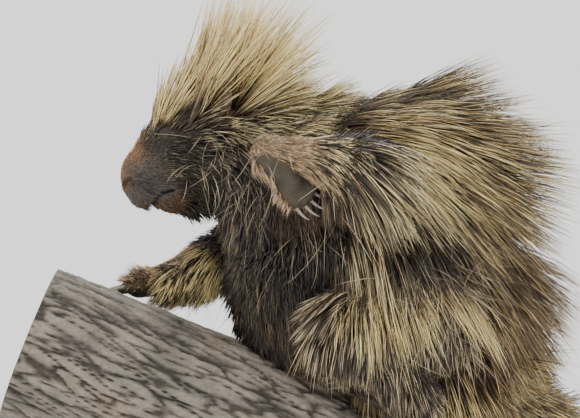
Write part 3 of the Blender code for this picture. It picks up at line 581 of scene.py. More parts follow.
def lid_slit_shade(places, side):
    """1 on the line between the closed lids, fading away from it; the skin is darkened there with painted shade."""
    line, over, facing = lid_frame(side)
    away = places - mirror(EYE_CENTRE, side)
    along = away @ line
    from_slit = away @ over - (0.9 * (along / 6.5) ** 2 - 0.5)
    ends = np.clip((9.0 - np.abs(along)) / 2.5, 0, 1)
    return ends * bump(from_slit, 1.45) * (away @ facing > 1) * (np.linalg.norm(away, axis=1) < 15)


def sculpt_face(places, out):
    """Presses lids, nostrils, mouth, lips and folds into the head."""
    height = np.zeros(len(places))
    push = np.zeros_like(places)
    head = places[:, 0] < -80
    for side in (1, -1):
        centre = mirror(EYE_CENTRE, side)
        line, over, facing = lid_frame(side)
        away = places - centre
        along, across, ahead = away @ line, away @ over, away @ facing
        here = (np.linalg.norm(away, axis=1) < 15) & (ahead > 1)
        bow = 0.9 * (along / 6.5) ** 2 - 0.5
        slit = np.clip((8.5 - np.abs(along)) / 2.5, 0, 1)
        from_slit = across - bow
        push -= (here * slit * bump(from_slit, 0.85) * 2.7)[:, None] * facing
        push += (here * slit * (bump(from_slit - 2.0, 1.1) + 0.8 * bump(from_slit + 2.0, 1.1)) * 0.7)[:, None] * facing
        height -= here * bump(from_slit - 5.2, 0.9) * bump(along, 8.0) * 0.7
        height -= here * bump(from_slit + 5.4, 0.9) * bump(along, 8.0) * 0.6
        comma = [mirror(spot, side) for spot in NOSTRIL_LINE]
        round_it = np.min(
            [bone_distance(places, a, 0.0, b, 0.0) for a, b in zip(comma, comma[1:])], axis=0
        )
        push += (bump(round_it, 2.5) * 4.2)[:, None] * unit(-mirror((-0.6, -0.8, 0.0), side))
        height += bump(round_it - 4.4, 1.5) * 0.9
        height += bump(np.linalg.norm(places - mirror((-137, -23, 168), side), axis=1), 11) * 1.6
        height -= bump(np.linalg.norm(places - mirror((-128, -21, 197), side), axis=1), 9) * 1.6
        height += bump(np.linalg.norm(places - mirror((-104, -34, 180), side), axis=1), 14) * 2.0
    mouth = line_distance(places[:, (0, 2)], MOUTH_LINE)
    low = head & (places[:, 0] < -104) & (places[:, 2] < 166)
    height -= low * bump(mouth, 1.15) * 3.2
    height += low * bump(mouth - 3.2, 1.6) * 1.0
    philtrum = bump(places[:, 1], 0.9) * (places[:, 0] < -150) * (places[:, 2] < 166)
    height -= philtrum * 1.1
    return places + push + height[:, None] * out


def wrinkled(places, out, region):
    """Low folds and pebbles on the feet, with their palms and soles, and on the nose pad."""
    feet = np.isin(region, [REGION_NAMES.index(name) for name in FEET])
    nose = places[:, 0] < -146
    height = np.zeros(len(places))
    for i in np.flatnonzero(feet | nose):
        height[i] = noise.fractal(Vector(places[i] * 0.55), 1.0, 2.0, 2) * 0.45
    return places + height[:, None] * out


# The lie of the coat.


def line_place(line, station):
    """Centre, backward direction and upward direction of a line at a station along it."""
    points = [Vector(p) for p in line]
    last = len(points) - 1
    at = min(max(station, 0.0), last - 1e-6)
    low = int(at)
    share = at - low
    a, b = points[low], points[low + 1]
    before, after = points[max(low - 1, 0)], points[min(low + 2, last)]
    slope_a, slope_b = (b - before) / 2, (after - a) / 2
    square, cube = share * share, share**3
    centre = (
        (2 * cube - 3 * square + 1) * a
        + (cube - 2 * square + share) * slope_a
        + (3 * square - 2 * cube) * b
        + (cube - square) * slope_b
    )
    along = (slope_a * (1 - share) + slope_b * share).normalized()
    upward = (Vector((0, 0, 1)) - along * along.z).normalized()
    return centre, along, upward


def line_guide(line, row, skin_tree):
    """A guide's place and normal on the skin, and its direction, from its place on a line."""
    station, angle, (back, out, fall), length, droop, look = row
    centre, along, upward = line_place(line, station)
    turn = math.radians(angle)
    outward = (upward * math.cos(turn) + along.cross(upward) * math.sin(turn)).normalized()
    hit, normal, _, _ = skin_tree.ray_cast(centre + outward * 300, -outward)
    if hit is None:
        hit, normal = centre, outward
    aim = along * back + outward * out - Vector((0, 0, fall))
    return hit, normal, aim, length, droop, look


def place_guide(row, side, skin_tree):
    place, aim, length, droop, look = row
    hit, normal, _, _ = skin_tree.find_nearest(Vector(mirror(place, side)))
    return hit, normal, Vector(mirror(aim, side)), length, droop, look


def look_row(name):
    root, tip, start, dark, width, guard, wool, wool_length = LOOKS[name]
    return (*root, *tip, start, dark, width, guard, wool, wool_length)


class Lie:
    """Direction, length and look of the coat over one part of the body, blended between guides."""

    def __init__(self, guides):
        self.places = np.array([g[0] for g in guides], float)
        normal = unit(np.array([g[1] for g in guides], float))
        aim = unit(np.array([g[2] for g in guides], float))
        self.lift = (aim * normal).sum(1)
        self.flow = aim - self.lift[:, None] * normal
        self.values = np.array([(g[3], g[4], *look_row(g[5])) for g in guides], float)

    def at(self, points, out):
        apart = ((points[:, None, :] - self.places[None]) ** 2).sum(2)
        weight = 1 / (apart + 16.0) ** 2
        weight /= weight.sum(1, keepdims=True)
        flow = weight @ self.flow
        strength = np.linalg.norm(flow, axis=1, keepdims=True)
        flow = flow - (flow * out).sum(1, keepdims=True) * out
        flow = unit(flow) * strength
        aim = unit(flow + out * np.maximum(weight @ self.lift, 0.08)[:, None])
        return aim, weight @ self.values


def make_lies(skin_tree):
    trunk = []
    for row in TRUNK_GUIDES:
        for side in ((1,) if row[1] in (0, 180) else (1, -1)):
            trunk.append(line_guide(BODY_LINE, (row[0], row[1] * side, *row[2:]), skin_tree))
    for row in FACE_GUIDES:
        for side in ((1,) if row[0][1] == 0 else (1, -1)):
            trunk.append(place_guide(row, side, skin_tree))
    lies = {name: Lie(trunk) for name in ("head", "neck", "torso", "tail")}
    lies["foreleg_left"] = Lie([place_guide(row, 1, skin_tree) for row in RAISED_GUIDES])
    for leg, rows in LEG_GUIDES.items():
        line = [place for place, _ in LEGS[leg]]
        lies[leg] = Lie([line_guide(line, row, skin_tree) for row in rows])
    for foot, (length, look) in FOOT_HAIR.items():
        heel, ahead, side, back, reach, _ = foot_frame(foot)
        rows = []
        for share in (0.1, 0.7):
            place = Vector(heel + ahead * reach * share + back * 10)
            hit, normal, _, _ = skin_tree.find_nearest(place)
            rows.append((hit, normal, Vector(ahead + 0.25 * back), length, 0.0, look))
        lies[foot] = Lie(rows)
    ears = []
    for side in (1, -1):
        base, tip = mirror(EAR_BASE, side), mirror(EAR_TIP, side)
        hit, normal, _, _ = skin_tree.find_nearest(Vector((base + tip) / 2))
        ears.append((hit, normal, Vector(unit(tip - base)), 6, 0.0, "ear"))
    lies["ears"] = Lie(ears)
    return lies


VALUE = {
    "length": 0, "droop": 1, "root": slice(2, 5), "tip": slice(5, 8), "start": 8, "dark": 9,
    "width": 10, "guard": 11, "wool": 12, "wool_length": 13,
}


def coat_at(points, out, region, lies):
    """Aim and values of the coat at each point, from the lie of the region that it is in."""
    aim = np.zeros_like(points)
    values = np.zeros((len(points), 14))
    for index, name in enumerate(REGION_NAMES):
        here = np.flatnonzero(region == index)
        for part in np.array_split(here, max(1, len(here) // 20000)):
            if len(part):
                aim[part], values[part] = lies[name].at(points[part], out[part])
    return aim, values


def bareness(points, out, region):
    """1 where no hair grows: palms, soles, eyelids, nostrils, lips and inside the ears."""
    bare = np.zeros(len(points))
    for name in FEET:
        heel, ahead, side, back, length, _ = foot_frame(name)
        here = region == REGION_NAMES.index(name)
        under = out @ -back
        toe_end = (points - heel) @ ahead > length * 0.72
        bare[here & ((under > 0.25) | toe_end)] = 1
    for side in (1, -1):
        eye = mirror(EYE_CENTRE, side)
        bare[np.linalg.norm(points - eye, axis=1) < 9.2] = 1
        comma = [mirror(spot, side) for spot in NOSTRIL_LINE]
        for a, b in zip(comma, comma[1:]):
            bare[bone_distance(points, a, 0.0, b, 0.0) < 3.9] = 1
        facing = unit(mirror(EAR_FACING, side))
        near = np.linalg.norm(points - mirror(EAR_TIP, side), axis=1) < 30
        bare[near & (region == REGION_NAMES.index("ears")) & (out @ facing > 0.3)] = 0.7
    mouth = line_distance(points[:, (0, 2)], MOUTH_LINE)
    bare[(points[:, 0] < -104) & (points[:, 2] < 166) & (mouth < 2.2)] = 1
    return bare


# Hair.


def grow(roots, aims, lengths, droops, clear, steps, skin_tree, waver, bend):
    """Paths of hairs from the skin out: each starts along its aim, sinks with its droop, and stays
    clear of the skin."""
    count = len(roots)
    path = np.empty((count, steps + 1, 3))
    path[:, 0] = roots - aims * 1.5
    aim = unit(aims + waver)
    step = lengths / steps
    for i in range(steps):
        moved = path[:, i] + aim * step[:, None]
        lift = clear * min(1.0, 0.4 + i / steps)
        for k in range(count):
            hit, normal, _, away = skin_tree.find_nearest(moved[k])
            if hit is None or away > lift[k] + 20:
                continue
            height = (Vector(moved[k]) - hit).dot(normal)
            if height < lift[k]:
                moved[k] += np.array(normal) * (lift[k] - height)
        path[:, i + 1] = moved
        aim = unit(moved - path[:, i])
        aim[:, 2] -= droops / steps
        aim = unit(aim + bend * (i + 1) / steps)
    return path


def clumped(path, roots, group, strength, draw):
    """Draws each hair's outer length towards the middle hair of its clump."""
    count = len(roots)
    centres = draw.choice(count, max(1, count // group), replace=False)
    tree = KDTree(len(centres))
    for i, centre in enumerate(centres):
        tree.insert(roots[centre], i)
    tree.balance()
    own = centres[[tree.find(root)[1] for root in roots]]
    share = np.linspace(0, 1, path.shape[1])[None, :, None] ** 1.6 * strength
    near = np.linalg.norm(path[own][:, -1] - path[:, -1], axis=1)[:, None, None]
    share = share * (near < 45)
    spread = (roots - roots[own])[:, None, :] * 0.35
    return path * (1 - share) + (path[own] + spread) * share


TAPER = {3: (0.75, 1.0, 0.7), 4: (0.7, 1.0, 0.95, 0.65), 5: (0.7, 0.95, 1.0, 0.85, 0.55), 2: (0.8, 0.9)}


def hair_mesh(name, path, widths, tints, uvs, draw):
    """A mesh of closed three-sided hairs along the paths, with the coat's tint and baking map."""
    count, rings = path.shape[0], path.shape[1] - 1
    ahead = np.empty_like(path)
    ahead[:, :-1] = path[:, 1:] - path[:, :-1]
    ahead[:, -1] = ahead[:, -2]
    ahead = unit(ahead)
    spin = unit(draw.normal(size=(count, 1, 3)) + np.zeros((1, rings + 1, 1)))
    side = unit(spin - (spin * ahead).sum(2, keepdims=True) * ahead)
    face = np.cross(ahead, side)
    taper = np.array(TAPER[rings])[None, :, None]
    half = widths[:, None, None] * 0.58 * taper
    corners = []
    for k in range(3):
        turn = 2 * math.pi * k / 3
        corners.append(path[:, :-1] + half * (math.cos(turn) * side[:, :-1] + math.sin(turn) * face[:, :-1]))
    ring_points = np.stack(corners, axis=2).reshape(count, rings * 3, 3)
    places = np.concatenate([ring_points, path[:, -1:]], axis=1)
    each = rings * 3 + 1
    faces = [(2, 1, 0)]
    for i in range(rings - 1):
        for k in range(3):
            a, b = i * 3 + k, i * 3 + (k + 1) % 3
            faces += [(a, b, b + 3), (a, b + 3, a + 3)]
    top = (rings - 1) * 3
    faces += [(top + k, top + (k + 1) % 3, each - 1) for k in range(3)]
    faces = np.array(faces)
    index = (np.arange(count)[:, None, None] * each + faces[None]).reshape(-1, 3)
    mesh = bpy.data.meshes.new(name)
    mesh.vertices.add(count * each)
    mesh.loops.add(len(index) * 3)
    mesh.polygons.add(len(index))
    mesh.vertices.foreach_set("co", metres(places).astype(np.float32).ravel())
    mesh.loops.foreach_set("vertex_index", index.astype(np.int32).ravel())
    mesh.polygons.foreach_set("loop_start", np.arange(0, len(index) * 3, 3, dtype=np.int32))
    mesh.polygons.foreach_set("use_smooth", np.ones(len(index), bool))
    mesh.update(calc_edges=True)
    colour = np.concatenate([np.repeat(tints[:, :-1], 3, axis=1), tints[:, -1:]], axis=1)
    colour = np.concatenate([colour, np.ones((*colour.shape[:2], 1))], axis=2)
    layer = mesh.color_attributes.new("tint", "FLOAT_COLOR", "POINT")
    layer.data.foreach_set("color", colour.astype(np.float32).ravel())
    across = np.tile((0.0, 0.5, 1.0), rings).tolist() + [0.5]
    along = np.repeat(np.arange(rings) / rings, 3).tolist() + [1.0]
    patch = (np.stack([across, along], axis=1) - 0.5) * PATCH
    vertex_uv = (uvs[:, None, :] + patch[None]).reshape(-1, 2)
    uv = mesh.uv_layers.new(name="OFBake")
    uv.data.foreach_set("uv", vertex_uv[index.ravel()].astype(np.float32).ravel())
    return mesh


def inside_box(path, draw):
    """Shortens the hairs that would leave the box of the solids by more than its margin."""
    low, high = (np.array(corner) / MM - SEAT for corner in CAD_BOX)
    margin = (high - low) * 0.03 + 8.0
    root, reach = path[:, :1], path - path[:, :1]
    over = np.maximum(reach / np.maximum(high + margin - root, 1e-3), reach / np.minimum(low - margin - root, -1e-3))
    most = over.max(axis=(1, 2))
    scale = np.where(most > 0.9, draw.uniform(0.84, 1.0, len(path)) / np.maximum(most, 1.0), 1.0)
    return root + reach * scale[:, None, None]


class Coat:
    """Grows hair from the finished skin and keeps the pieces."""

    def __init__(self, skin, lies, skin_tree, coarse):
        mesh = skin.data
        self.corners = coordinates(mesh) / MM - SEAT
        self.out = normals(mesh)
        self.faces = triangles(mesh)
        self.tree = skin_tree
        self.lies = lies
        middle = self.corners[self.faces].mean(1)
        edge_a = self.corners[self.faces[:, 1]] - self.corners[self.faces[:, 0]]
        edge_b = self.corners[self.faces[:, 2]] - self.corners[self.faces[:, 0]]
        across = np.cross(edge_a, edge_b)
        self.area = np.linalg.norm(across, axis=1) / 2
        self.face_out = unit(across)
        self.region = regions_of(middle)
        _, self.values = coat_at(middle, self.face_out, self.region, lies)
        self.bare = bareness(middle, self.face_out, self.region)
        self.middle = middle
        self.coarse = coarse
        self.pieces = []

    def roots(self, density, draw):
        """Root places drawn at this many for each square centimetre of every face."""
        wanted = density * self.area / 100 * (1 - self.bare)
        total = int(wanted.sum())
        face = draw.choice(len(wanted), total, p=wanted / wanted.sum())
        u, v = draw.random(total), draw.random(total)
        flip = u + v > 1
        u[flip], v[flip] = 1 - u[flip], 1 - v[flip]
        corner = self.corners[self.faces[face]]
        place = corner[:, 0] + u[:, None] * (corner[:, 1] - corner[:, 0]) + v[:, None] * (corner[:, 2] - corner[:, 0])
        order = np.lexsort((place[:, 0], self.region[face]))
        return place[order], self.face_out[face][order], self.region[face][order]

    def uv_at(self, places):
        """Each root's place on the unwrap of the skin's coarse copy."""
        tree, corners, maps = self.coarse
        found = np.empty((len(places), 2))
        for k, place in enumerate(places):
            hit, _, index, _ = tree.find_nearest(Vector(place))
            a, b, c = corners[index]
            weight = np.array(barycentric(np.array(hit), a, b, c))
            found[k] = weight @ maps[index]
        return found

    def add(self, name, path, region, widths, tints, draw):
        """Keeps the hairs as pieces of at most PIECE_TRIANGLES triangles each, split in the order of their roots."""
        each = (path.shape[1] - 2) * 6 + 4
        path = inside_box(path, draw)
        most = PIECE_TRIANGLES // each
        uvs = self.uv_at(path[:, 0])
        for number, part in enumerate(np.array_split(np.arange(len(path)), math.ceil(len(path) / most))):
            label = f"{name}_{number + 1}"
            mesh = hair_mesh(label, path[part], widths[part], tints[part], uvs[part], draw)
            self.pieces.append(linked(label, mesh))


def barycentric(point, a, b, c):
    ab, ac, ap = b - a, c - a, point - a
    d00, d01, d11, d20, d21 = ab @ ab, ab @ ac, ac @ ac, ap @ ab, ap @ ac
    scale = max(d00 * d11 - d01 * d01, 1e-12)
    v, w = (d11 * d20 - d01 * d21) / scale, (d00 * d21 - d01 * d20) / scale
    return 1 - v - w, v, w


def hair_tints(values, steps, draw, spread=0.25):
    """Root to tip colours of each hair, from its look, with some hairs left dark."""
    count = len(values)
    along = np.linspace(0, 1, steps + 1)[None, :, None]
    root, tip = values[:, None, VALUE["root"]], values[:, None, VALUE["tip"]]
    start = np.clip(values[:, VALUE["start"]] + draw.normal(0, 0.10, count), 0.05, 0.9)[:, None, None]
    dark = draw.random(count) < values[:, VALUE["dark"]]
    mix = np.clip((along - start) / 0.22, 0, 1)
    mix = mix * mix * (3 - 2 * mix)
    mix = np.where(dark[:, None, None], mix * 0.10, mix)
    shade = np.exp(draw.normal(0, spread, (count, 1, 1)))
    warmth = 1 + draw.normal(0, 0.06, (count, 1, 1)) * np.array((1.0, 0.0, -1.2))
    return np.clip((root * (1 - mix) + tip * mix) * shade * warmth, 0.003, 0.85)


def grow_wool(coat):
    draw = np.random.default_rng(11)
    place, out, region = coat.roots(coat.values[:, VALUE["wool"]], draw)
    aim, values = coat_at(place, out, region, coat.lies)
    aim = unit(aim + 0.35 * out + draw.normal(0, 0.16, place.shape))
    length = values[:, VALUE["wool_length"]] * draw.uniform(0.7, 1.2, len(place))
    path = grow(place, aim, length, values[:, 1] * 0.3, length * 0.12, 2, coat.tree, 0.0, 0.0)
    tints = np.repeat(values[:, None, VALUE["root"]], 3, axis=1) * np.array((0.75, 1.0, 1.5))[None, :, None]
    tints = tints * np.exp(draw.normal(0, 0.25, (len(place), 1, 1)))
    width = np.clip(length * 0.075, 0.7, 2.0) * draw.uniform(0.8, 1.2, len(place))
    coat.add("underfur", path, region, width, tints, draw)


def grow_guard(coat):
    draw = np.random.default_rng(12)
    place, out, region = coat.roots(coat.values[:, VALUE["guard"]], draw)
    aim, values = coat_at(place, out, region, coat.lies)
    length = values[:, VALUE["length"]] * draw.uniform(0.70, 1.14, len(place)) * shortening(place)
    long = length > 24
    for name, chosen, steps, group, strength in (("guard_hair", long, 4, 12, 0.5), ("short_hair", ~long, 2, 6, 0.3)):
        p, o, a, v, size = place[chosen], out[chosen], aim[chosen], values[chosen], length[chosen]
        clump_waver = clump_noise(p, 0.045) * 0.16
        waver = clump_waver + draw.normal(0, 0.06, p.shape)
        bend = draw.normal(0, 0.05, p.shape)
        path = grow(p, a, size, v[:, 1], np.minimum(size * 0.10, 7.0), steps, coat.tree, waver, bend)
        path = clumped(path, p, group, strength, draw)
        tints = hair_tints(v, steps, draw)
        coat.add(name, path, region[chosen], v[:, VALUE["width"]] * draw.uniform(0.7, 1.25, len(p)), tints, draw)


def shortening(places):
    """Fur gets short towards the lids and the nostrils."""
    scale = np.ones(len(places))
    for side in (1, -1):
        for spot, reach in ((EYE_CENTRE, 17.0), (NOSTRIL, 12.0)):
            away = np.linalg.norm(places - mirror(spot, side), axis=1)
            scale *= 1 - 0.72 * bump(away, reach)
    return scale


def clump_noise(places, scale):
    """A direction that changes slowly over the body."""
    return np.array([noise.noise_vector(Vector(place) * scale) for place in places])


STRAY_PLACES = (
    # station range, angle range, how many, length, aim, spread, colour
    ((3.3, 5.6), (20, 110), 420, 78, (0.5, 0.5, 0.5), 0.6, (0.46, 0.38, 0.25)),
    ((0.9, 2.8), (60, 130), 150, 42, (0.3, 0.4, 0.8), 0.7, (0.34, 0.28, 0.19)),
    ((2.2, 3.6), (95, 165), 120, 52, (0.2, 0.4, 0.9), 0.6, (0.24, 0.18, 0.12)),
    ((4.6, 6.8), (0, 80), 260, 84, (0.9, 0.4, 0.3), 0.5, (0.40, 0.30, 0.18)),
)


def grow_strays(coat):
    """Sparse pale hairs that cross the rest."""
    draw = np.random.default_rng(13)
    rows = []
    for stations, angles, count, length, aim, spread, colour in STRAY_PLACES:
        for _ in range(count):
            side = 1 if draw.random() < 0.5 else -1
            guide = (draw.uniform(*stations), side * draw.uniform(*angles), aim, length, 0, "back")
            hit, normal, way, _, _, _ = line_guide(BODY_LINE, guide, coat.tree)
            way = unit(np.array(way) + draw.normal(0, spread, 3))
            rows.append((hit, way, length * draw.uniform(0.6, 1.2), colour))
    place = np.array([row[0] for row in rows])
    way = np.array([row[1] for row in rows])
    length = np.array([row[2] for row in rows])
    bend = draw.normal(0, 0.22, place.shape)
    path = grow(place, way, length, np.full(len(place), 0.7), np.full(len(place), 12.0), 5, coat.tree, 0.0, bend)
    tip = np.array([row[3] for row in rows])[:, None, :]
    tints = tip * np.array((0.3, 0.6, 0.9, 1.0, 1.05, 1.1))[None, :, None]
    tints = tints * np.exp(draw.normal(0, 0.2, (len(place), 1, 1)))
    coat.add("stray_hair", path, None, draw.uniform(0.35, 0.6, len(place)), tints, draw)


WHISKERS_A_SIDE = 34


def grow_whiskers(coat):
    """Thin dark whiskers on the sides of the muzzle and over the eye."""
    draw = np.random.default_rng(15)
    place, way, length = [], [], []
    for side in (1, -1):
        for k in range(WHISKERS_A_SIDE):
            spot = mirror((draw.uniform(-148, -132), -26, draw.uniform(154, 176)), side)
            if k % 8 == 0:
                spot = mirror((draw.uniform(-124, -108), -28, draw.uniform(222, 230)), side)
            hit, normal, _, _ = coat.tree.find_nearest(Vector(spot))
            place.append(hit)
            way.append(np.array(normal) * 0.9 + mirror((0.75, 0, -0.12), side) + draw.normal(0, 0.14, 3))
            length.append(draw.uniform(24, 52))
    place, way, length = np.array(place), unit(np.array(way)), np.array(length)
    bend = draw.normal(0, 0.08, place.shape) + np.array((0.12, 0, -0.05))
    path = grow(place, way, length, np.full(len(place), 0.15), np.full(len(place), 2.0), 5, coat.tree, 0.0, bend)
    tint = np.array((0.03, 0.024, 0.018))[None, None] * np.ones((len(place), 6, 1))
    coat.add("whisker", path, None, np.full(len(place), 0.42), tint, draw)


QUILL_BANDS = (((1.7, 3.2), (0, 70), 420, 34), ((3.2, 5.0), (0, 60), 300, 52), ((5.0, 8.6), (0, 75), 620, 44))


def grow_quills(coat):
    """Stiff cream quills with dark tips, half hidden in the coat."""
    draw = np.random.default_rng(14)
    place, way, length = [], [], []
    for stations, angles, count, size in QUILL_BANDS:
        for _ in range(count):
            side = 1 if draw.random() < 0.5 else -1
            guide = (draw.uniform(*stations), side * draw.uniform(*angles), (0.8, 0.55, 0.1), size, 0, "back")
            hit, _, aim, _, _, _ = line_guide(BODY_LINE, guide, coat.tree)
            place.append(hit)
            way.append(unit(np.array(aim) + draw.normal(0, 0.22, 3)))
            length.append(size * draw.uniform(0.7, 1.15))
    place, way, length = np.array(place), np.array(way), np.array(length)
    none = np.zeros(len(place))
    path = grow(place, way, length, none, length * 0.15, 5, coat.tree, 0.0, 0.0)
    cream, dark = np.array((0.52, 0.44, 0.27)), np.array((0.03, 0.02, 0.014))
    share = np.array((0.0, 0.0, 0.0, 0.15, 0.9, 1.0))[None, :, None]
    tints = (cream * (1 - share) + dark * share) * np.exp(draw.normal(0, 0.15, (len(place), 1, 1)))
    coat.add("quill", path, None, draw.uniform(1.3, 2.0, len(place)), tints, draw)


def coarse_unwrap(skin):
    """A thinned copy of the skin with a flat unwrap, that every root's place is read from."""
    copy = linked("unwrap", skin.data.copy())
    thin = copy.modifiers.new("thin", "DECIMATE")
    thin.ratio = COARSE_TRIANGLES / len(triangles(skin.data))
    thin.use_collapse_triangulate = True
    applied(copy)
    bpy.context.view_layer.objects.active = copy
    copy.select_set(True)
    bpy.ops.object.mode_set(mode="EDIT")
    bpy.ops.mesh.select_all(action="SELECT")
    bpy.ops.uv.smart_project(angle_limit=math.radians(72), island_margin=0.002)
    bpy.ops.object.mode_set(mode="OBJECT")
    mesh = copy.data
    corners = coordinates(mesh) / MM - SEAT
    faces = triangles(mesh)
    flat = np.empty(len(mesh.loops) * 2, np.float32)
    mesh.uv_layers.active.data.foreach_get("uv", flat)
    loops = np.empty(len(mesh.loop_triangles) * 3, np.int32)
    mesh.loop_triangles.foreach_get("loops", loops)
    maps = flat.reshape(-1, 2)[loops.reshape(-1, 3)].astype(float)
    tree = BVHTree.FromPolygons(corners.tolist(), faces.tolist(), all_triangles=True)
    bpy.data.objects.remove(copy)
    return tree, corners[faces], maps


# Materials.


def new_material(name, rough, **sockets):
    material = bpy.data.materials.new(name)
    material.use_nodes = True
    nodes, links = material.node_tree.nodes, material.node_tree.links
    shader = nodes["Principled BSDF"]
    shader.inputs["Roughness"].default_value = rough
    for key, value in sockets.items():
        shader.inputs[key.replace("_", " ")].default_value = value
    return material, nodes, links, shader


def textured(nodes, links, kind, scale, detail=4.0, stretch=(1, 1, 1), **settings):
    """A texture node on the object's own coordinates."""
    coordinate = nodes.new("ShaderNodeTexCoord")
    mapping = nodes.new("ShaderNodeMapping")
    mapping.inputs["Scale"].default_value = stretch
    texture = nodes.new(kind)
    links.new(coordinate.outputs["Object"], mapping.inputs["Vector"])
    links.new(mapping.outputs["Vector"], texture.inputs["Vector"])
    texture.inputs["Scale"].default_value = scale
    if "Detail" in texture.inputs:
        texture.inputs["Detail"].default_value = detail
    for key, value in settings.items():
        setattr(texture, key, value)
    return texture


def bumped(nodes, links, shader, height, strength, distance):
    node = nodes.new("ShaderNodeBump")
    node.inputs["Strength"].default_value = strength
    node.inputs["Distance"].default_value = distance
    links.new(height, node.inputs["Height"])
    links.new(node.outputs["Normal"], shader.inputs["Normal"])


def varied(nodes, links, colour, factor, low, high):
    """The colour, made darker and lighter by a texture between low and high."""
    spread = nodes.new("ShaderNodeMapRange")
    spread.inputs["To Min"].default_value = low
    spread.inputs["To Max"].default_value = high
    links.new(factor, spread.inputs["Value"])
    scale = nodes.new("ShaderNodeVectorMath")
    scale.operation = "SCALE"
    links.new(colour, scale.inputs[0])
    links.new(spread.outputs["Result"], scale.inputs["Scale"])
    return scale.outputs["Vector"]


def tint_material(name, attribute, rough, noise_scale, low, high, bump_height=0.0, **sockets):
    """A finish coloured by the piece's own tint, varied by fine noise."""
    material, nodes, links, shader = new_material(name, rough, **sockets)
    tint = nodes.new("ShaderNodeAttribute")
    tint.attribute_name = attribute
    texture = textured(nodes, links, "ShaderNodeTexNoise", noise_scale)
    links.new(varied(nodes, links, tint.outputs["Color"], texture.outputs["Fac"], low, high), shader.inputs["Base Color"])
    if bump_height:
        bumped(nodes, links, shader, texture.outputs["Fac"], 0.6, bump_height)
    return material


def skin_material():
    """Matt skin coloured by its tint, pebbled like a sole, with painted shade in the crevices between the pebbles and
    painted light on their tops.
    """
    material, nodes, links, shader = new_material("skin", 0.72, Specular_IOR_Level=0.28)
    tint = nodes.new("ShaderNodeAttribute")
    tint.attribute_name = "tint"
    grain = textured(nodes, links, "ShaderNodeTexNoise", 420.0)
    pebbles = textured(nodes, links, "ShaderNodeTexVoronoi", 620.0)
    fine = varied(nodes, links, tint.outputs["Color"], grain.outputs["Fac"], 0.7, 1.3)
    # Painted shade and light: the colour darkens towards the pebbles' edges, where the bump sinks into crevices, and
    # lightens on their raised middles.
    links.new(varied(nodes, links, fine, pebbles.outputs["Distance"], 1.25, 0.65), shader.inputs["Base Color"])
    bumped(nodes, links, shader, pebbles.outputs["Distance"], 0.7, -0.0006)
    return material


def plain_material(name, colour, rough, noise_scale, low, high, bump_height, stretch=(1, 1, 1), **sockets):
    material, nodes, links, shader = new_material(name, rough, **sockets)
    base = nodes.new("ShaderNodeRGB")
    base.outputs[0].default_value = (*colour, 1.0)
    texture = textured(nodes, links, "ShaderNodeTexNoise", noise_scale, stretch=stretch)
    links.new(varied(nodes, links, base.outputs[0], texture.outputs["Fac"], low, high), shader.inputs["Base Color"])
    bumped(nodes, links, shader, texture.outputs["Fac"], 0.4, bump_height)
    return material


def sawn_material():
    """Sawn end grain: rings round the heart, darker towards the bark, with saw marks."""
    material, nodes, links, shader = new_material("sawn_end", 0.8)
    rings = nodes.new("ShaderNodeAttribute")
    rings.attribute_name = "tint"
    marks = textured(nodes, links, "ShaderNodeTexNoise", 90.0, stretch=(1, 1, 14))
    links.new(varied(nodes, links, rings.outputs["Color"], marks.outputs["Fac"], 0.8, 1.2), shader.inputs["Base Color"])
    bumped(nodes, links, shader, marks.outputs["Fac"], 0.5, 0.0006)
    return material


def set_tint(mesh, colour):
    layer = mesh.color_attributes.new("tint", "FLOAT_COLOR", "POINT")
    layer.data.foreach_set("color", np.concatenate([colour, np.ones((len(colour), 1))], axis=1).astype(np.float32).ravel())


# Eyes, claws, limb and stand.


def make_eyes():
    bm = bmesh.new()
    for side in (1, -1):
        add_ball(bm, mirror(EYE_CENTRE, side), [EYE_RADIUS] * 3, 24)
    eyes = bm_object("eyes", bm)
    set_coordinates(eyes.data, metres(coordinates(eyes.data)))
    eyes.data.shade_smooth()
    eyes.data.materials.append(
        plain_material("eye", (0.012, 0.008, 0.006), 0.12, 120.0, 0.7, 1.3, 0.00002, Coat_Weight=0.8)
    )
    return eyes


def make_claws():
    """Curved, tapered claws, flatter below, as long as the solids' ones."""
    sides, rings = 12, 14
    bm = bmesh.new()
    for name in FEET:
        for root, aim, up, length in foot_bones(name)[1]:
            aim, centre = Vector(aim), Vector(root)
            side = aim.cross(Vector(up)).normalized()
            rows = []
            for i in range(rings):
                share = i / rings
                across = side.cross(aim)
                size = 2.7 * (1 - share) ** 0.75
                row = []
                for k in range(sides):
                    turn = 2 * math.pi * k / sides
                    low = 0.75 if math.sin(turn) < 0 else 1.0
                    offset = 0.8 * math.cos(turn) * side + low * math.sin(turn) * across
                    row.append(bm.verts.new(centre + size * offset))
                rows.append(row)
                centre = centre + aim * length / rings
                aim = (Matrix.Rotation(-1.2 / rings, 3, side) @ aim).normalized()
            tip = bm.verts.new(centre)
            for low_row, high_row in zip(rows, rows[1:]):
                for k in range(sides):
                    bm.faces.new((low_row[k], low_row[(k + 1) % sides], high_row[(k + 1) % sides], high_row[k]))
            for k in range(sides):
                bm.faces.new((rows[-1][k], rows[-1][(k + 1) % sides], tip))
            bm.faces.new(rows[0][::-1])
    claws = bm_object("claws", bm)
    set_coordinates(claws.data, metres(coordinates(claws.data)))
    claws.data.shade_smooth()
    claws.data.materials.append(
        plain_material("claw", (0.17, 0.145, 0.115), 0.38, 260.0, 0.55, 1.4, 0.00015, stretch=(1, 1, 0.2))
    )
    return claws


BARK_ROWS = 260
BARK_AROUND = 280
BARK_PLATE_LENGTH = 58.0
BARK_PLATE_WIDTH = 11.5
BARK_TWIST = 0.0016
BARK_LIGHT = (0.190, 0.165, 0.132)
# Colour deep in the bark's cracks: painted shade.
BARK_CRACK_SHADE = (0.024, 0.019, 0.014)
BARK_WARM = (0.150, 0.112, 0.076)
END_RINGS = 26


